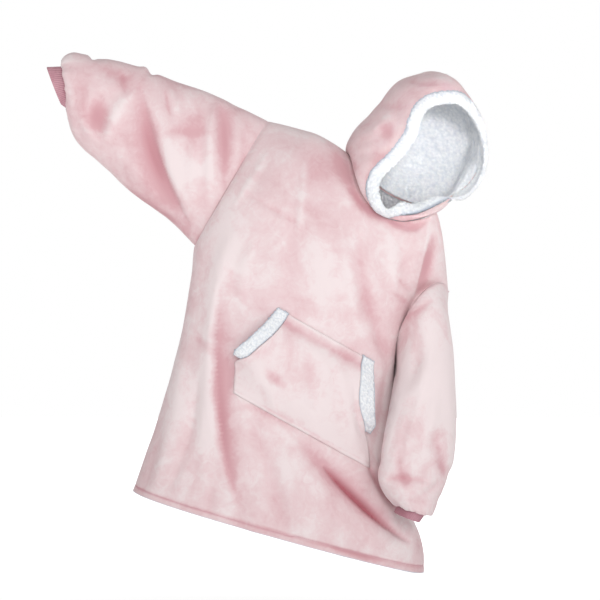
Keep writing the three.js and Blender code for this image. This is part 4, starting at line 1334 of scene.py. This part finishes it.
def ringed(grid, step_up, step_over):
    """A closed ring of closed sections, made finer both ways."""
    closed = np.concatenate([grid, grid[:, :1]], axis=1)
    closed = np.concatenate([closed, closed[:1]], axis=0)
    wide = np.zeros((closed.shape[0] + 2, closed.shape[1] + 2, 3))
    wide[1:-1, 1:-1] = closed
    wide[0, 1:-1], wide[-1, 1:-1] = closed[-2], closed[1]
    wide[:, 0], wide[:, -1] = wide[:, -3], wide[:, 2]
    up_at = steps_for(closed, 0, step_up, seam=False)
    over_at = steps_for(closed, 1, step_over, seam=False)
    rows = between(wide, up_at)
    made = between(rows.transpose(1, 0, 2), over_at).transpose(1, 0, 2)
    made[:, -1] = made[:, 0]
    made[-1, :] = made[0, :]
    return made


def ring_normals(grid, out):
    wide = np.concatenate([grid[:, -2:-1], grid, grid[:, 1:2]], axis=1)
    wide = np.concatenate([wide[-2:-1], wide, wide[1:2]], axis=0)
    n = np.cross(np.gradient(wide, axis=1), np.gradient(wide, axis=0)) * out
    n /= np.maximum(np.linalg.norm(n, axis=2, keepdims=True), 1e-9)
    return n[1:-1, 1:-1]


band_rough = rim_band()
band_fine = ringed(band_rough, 2.0, 1.8)
band_out = ring_normals(band_fine, 1)
centre = band_fine.mean(axis=1, keepdims=True)
if np.sum((band_fine - centre) * band_out) < 0:
    band_out = -band_out
around = walked_lengths(band_fine, 1)
from_seam = np.minimum(around, around[:, -1:] - around)
seam_shade = 0.85 * np.exp(-((from_seam / 5.5) ** 2))
band = curly("hood_band_sherpa", band_fine, band_out, 6.0, 3.4, 11.0, ring=True, both=True, shade=seam_shade)
placed(band, "hood_band")

# Pocket and its trims

front_tree = BVHTree.FromPolygons(
    [Vector(p) for p in front_grid.reshape(-1, 3)],
    [
        (j * front_grid.shape[1] + i, j * front_grid.shape[1] + i + 1,
         (j + 1) * front_grid.shape[1] + i + 1, (j + 1) * front_grid.shape[1] + i)
        for j in range(front_grid.shape[0] - 1) for i in range(front_grid.shape[1] - 1)
    ],
)
flat_front = fine_front.reshape(-1, 3)
flat_out = front_out.reshape(-1, 3)


def on_front(x, z):
    """The place on the front panel behind a point of the flat pocket, and its outward direction."""
    place = front_tree.ray_cast(Vector((x, -900, z)), Vector((0, 1, 0)))[0]
    off = np.hypot(flat_front[:, 0] - x, flat_front[:, 2] - z)
    near = np.argpartition(np.where(flat_out[:, 1] < 0, off, 1e6), 12)[:12]
    out = flat_out[near].mean(axis=0)
    return np.array(place), out / np.linalg.norm(out)


def stand_off(over, down):
    outer_right, _, _, outer_left = columns_at(pocket_shape, down)
    from_top = smooth(down, 0, 70)
    from_bottom = smooth(pocket_height - down, 0, 60)
    side_sewn = smooth(down, 135, 170)
    in_from_side = smooth(min(over - outer_right, outer_left - over), 0, 60)
    return 1.9 + pocket_puff * from_top * from_bottom * (1 - side_sewn * (1 - in_from_side))


def pocket_grid(downs, edges, cells, lift):
    grid, outs = [], []
    for down in downs:
        start, stop = edges(columns_at(pocket_shape, down))
        row, row_out = [], []
        for i in range(cells + 1):
            over = start + (stop - start) * i / cells
            x, z = pocket_top + pocket_across * over + pocket_down * down
            place, out = on_front(x, z)
            row.append(place + out * (stand_off(over, down) + lift))
            row_out.append(out)
        grid.append(row)
        outs.append(row_out)
    return np.array(grid), np.array(outs)


pocket_rough, pocket_out = pocket_grid(
    np.linspace(0, pocket_height, 56), lambda e: (e[1] + 0.5, e[2] - 0.5), 72, cloth_wall,
)
# The pocket's folds, in the folds' columns; dark is the shade painted on them.
folds["pocket"] = [
    # x1, z1, x2, z2, x3, z3, breadth, height, soft, side, dark
    [-298, -451, -277, -466, -256, -481, 13, -2, 2.5, 1, 0.9],
    [-330, -420, -300, -470, -270, -560, 16, 4, 2, 1, -0.3],
    [-200, -400, -190, -470, -180, -560, 16, -3, 2, 1, 0.3],
    [-130, -430, -110, -510, -90, -600, 14, 3, 2, 1, -0.4],
    [-300, -540, -240, -560, -180, -600, 12, -3, 1.8, 1, 0.4],
    [-196, -598, -176, -612, -150, -614, 5, -3, 1.4, 1, 0.8],
    [-170, -614, -140, -630, -104, -656, 5, -3, 1.4, 1, 0.8],
    [-90, -490, -84, -540, -76, -600, 10, -3, 1.8, 1, 0.3],
]
far = edge_distance(pocket_rough)
down_from_top = walked_lengths(pocket_rough, 0)
up_from_bottom = down_from_top[-1:] - down_from_top
move, pocket_dark = folding(pocket_rough, pocket_out, folds["pocket"], -1)
move = move * smooth(far, 0, 25) + 1.6 * slow_waves(pocket_rough, 60.0, 31.0) * smooth(far, 0, 30)
move -= 2.8 * np.exp(-((np.minimum(down_from_top, up_from_bottom) / 6.5) ** 2))
near_top = np.exp(-(((down_from_top - 9) / 3.0) ** 2))
near_bottom = np.exp(-(((up_from_bottom - 9) / 3.0) ** 2))
trough_top = np.exp(-(((down_from_top - 22) / 12.0) ** 2))
grid = pocket_rough + pocket_out * (move - 1.4 * (near_top + near_bottom) - 3.0 * trough_top)[..., None]
# Painted shade: the folds' painted shade, more in the trough below the top seam and beside the top and
# bottom seams, and the whole pocket painted a little lighter.
painted_shade = pocket_dark + 1.2 * trough_top + 0.4 * near_bottom + 0.2 * near_top - 0.35
pocket = cloth_object(
    "pocket_cloth", grid, flip=not faces_out(grid, pocket_out), marks={"painted_shade": painted_shade},
    materials=(plush, inner_sherpa),
)
walled(pocket, cloth_wall, 1)
placed(pocket, "pocket")

for side, end, edges in (
    ("right", trim_right_end, lambda e: (e[0], e[1] - 0.5)),
    ("left", trim_left_end, lambda e: (e[2] + 0.5, e[3])),
):
    rough, out_dirs = pocket_grid(np.linspace(-2, end, 92), edges, 15, trim_wall - 1.4)
    fine, _, _ = finer(rough[::4], 1.5)
    out_fine = normals_of(fine, 1)
    if out_fine[..., 1].mean() > 0:
        out_fine = -out_fine
    crown = smooth(edge_distance(fine), 0, 9)
    form = fine + out_fine * (2.4 * (crown - 1))[..., None]
    rim_shade = 0.6 * np.exp(-((edge_distance(fine) / 2.4) ** 2))
    piece = curly(
        f"pocket_trim_{side}_sherpa", form, out_fine, 5.5, 3.0, 17.0, wall=trim_backing, drop=0.45,
        shade=rim_shade,
    )
    placed(piece, f"pocket_trim_{side}")

# Topstitching along the hem

def stitches(name, grid, out_dirs, height, count_step=5.0):
    """Short threads laid along a line a set height above the hem."""
    above = walked_lengths(grid, 0)
    line = []
    for i in range(grid.shape[1]):
        j = int(np.argmin(np.abs(above[:, i] - height)))
        line.append(grid[j, i] + out_dirs[j, i] * 0.5)
    line = np.array(line)
    walked = np.concatenate([[0], np.cumsum(np.linalg.norm(np.diff(line, axis=0), axis=1))])
    bm = bmesh.new()
    for start in np.arange(6, walked[-1] - 8, count_step):
        a = np.array([np.interp(start, walked, line[:, k]) for k in range(3)])
        b = np.array([np.interp(start + 3.4, walked, line[:, k]) for k in range(3)])
        way = Vector(b - a).normalized()
        turn = way.to_track_quat("Z", "Y").to_matrix().to_4x4()
        turn.translation = Vector((a + b) / 2 * MM)
        made = bmesh.ops.create_icosphere(bm, subdivisions=1, radius=0.0006, matrix=turn)
        for vert in made["verts"]:
            off = vert.co - turn.translation
            length = off.dot(way)
            vert.co += way * length * 2.2
    piece = object_from(bm, name, [thread])
    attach(piece, "root")
    return piece


stitches("front_hem_stitches", front_grid, front_out, hem_stitch_line)
stitches("back_hem_stitches", back_grid, back_out, hem_stitch_line)

# Floor and light

floor_bm = bmesh.new()
bmesh.ops.create_grid(floor_bm, x_segments=1, y_segments=1, size=14)
floor_look, floor_tree, floor_shader = new_material("pale_floor", 0.9, 0.0)
floor = object_from(floor_bm, "floor", [floor_look])
floor.location = (0, 0, -1.36)
floor_shader.inputs["Base Color"].default_value = (0.93, 0.93, 0.93, 1)
floor_shader.inputs["Emission Color"].default_value = (1, 1, 1, 1)
floor_far = floor_tree.nodes.new("ShaderNodeVectorMath")
floor_far.operation = "LENGTH"
fill_in(floor_tree, floor_far, {0: own_place(floor_tree)})
floor_fade = mapped(floor_tree, floor_far.outputs["Value"], 1.0, 5.0)
fill_in(floor_tree, floor_shader, {"Emission Strength": floor_fade})

world = bpy.data.worlds.new("studio")
world.use_nodes = True
sky = world.node_tree.nodes["Background"]
seen = world.node_tree.nodes.new("ShaderNodeLightPath").outputs["Is Camera Ray"]
brightness = mapped(world.node_tree, seen, to_low=0.44, to_high=1.0)
fill_in(world.node_tree, sky, {"Color": (1, 1, 1, 1), "Strength": brightness})
bpy.context.scene.world = world


def soft_light(name, place, aim, size, power, spread=180.0):
    data = bpy.data.lights.new(name, "AREA")
    data.size = size
    data.energy = power
    data.spread = math.radians(spread)
    made = bpy.data.objects.new(name, data)
    made.location = place
    made.rotation_euler = (Vector(aim) - Vector(place)).to_track_quat("-Z", "Y").to_euler()
    bpy.context.collection.objects.link(made)


soft_light("key", (2.6, -3.4, 2.2), (-0.2, 0, -0.3), 1.6, 26)
soft_light("fill", (-2.4, -3.6, 0.4), (-0.2, 0, -0.3), 2.4, 10)
soft_light("front", (0.4, -4.7, 0.6), (-0.2, 0, -0.2), 1.2, 54)
soft_light("side", (2.4, -3.4, -0.9), (0, 0, -0.75), 1.6, 8)
soft_light("hood", (0.6, -3.0, 0.3), (0.1, 0, 0.09), 0.25, 0.135, spread=9)
soft_light("back", (0.4, 4.6, 1.2), (-0.2, 0, -0.3), 2.4, 34)
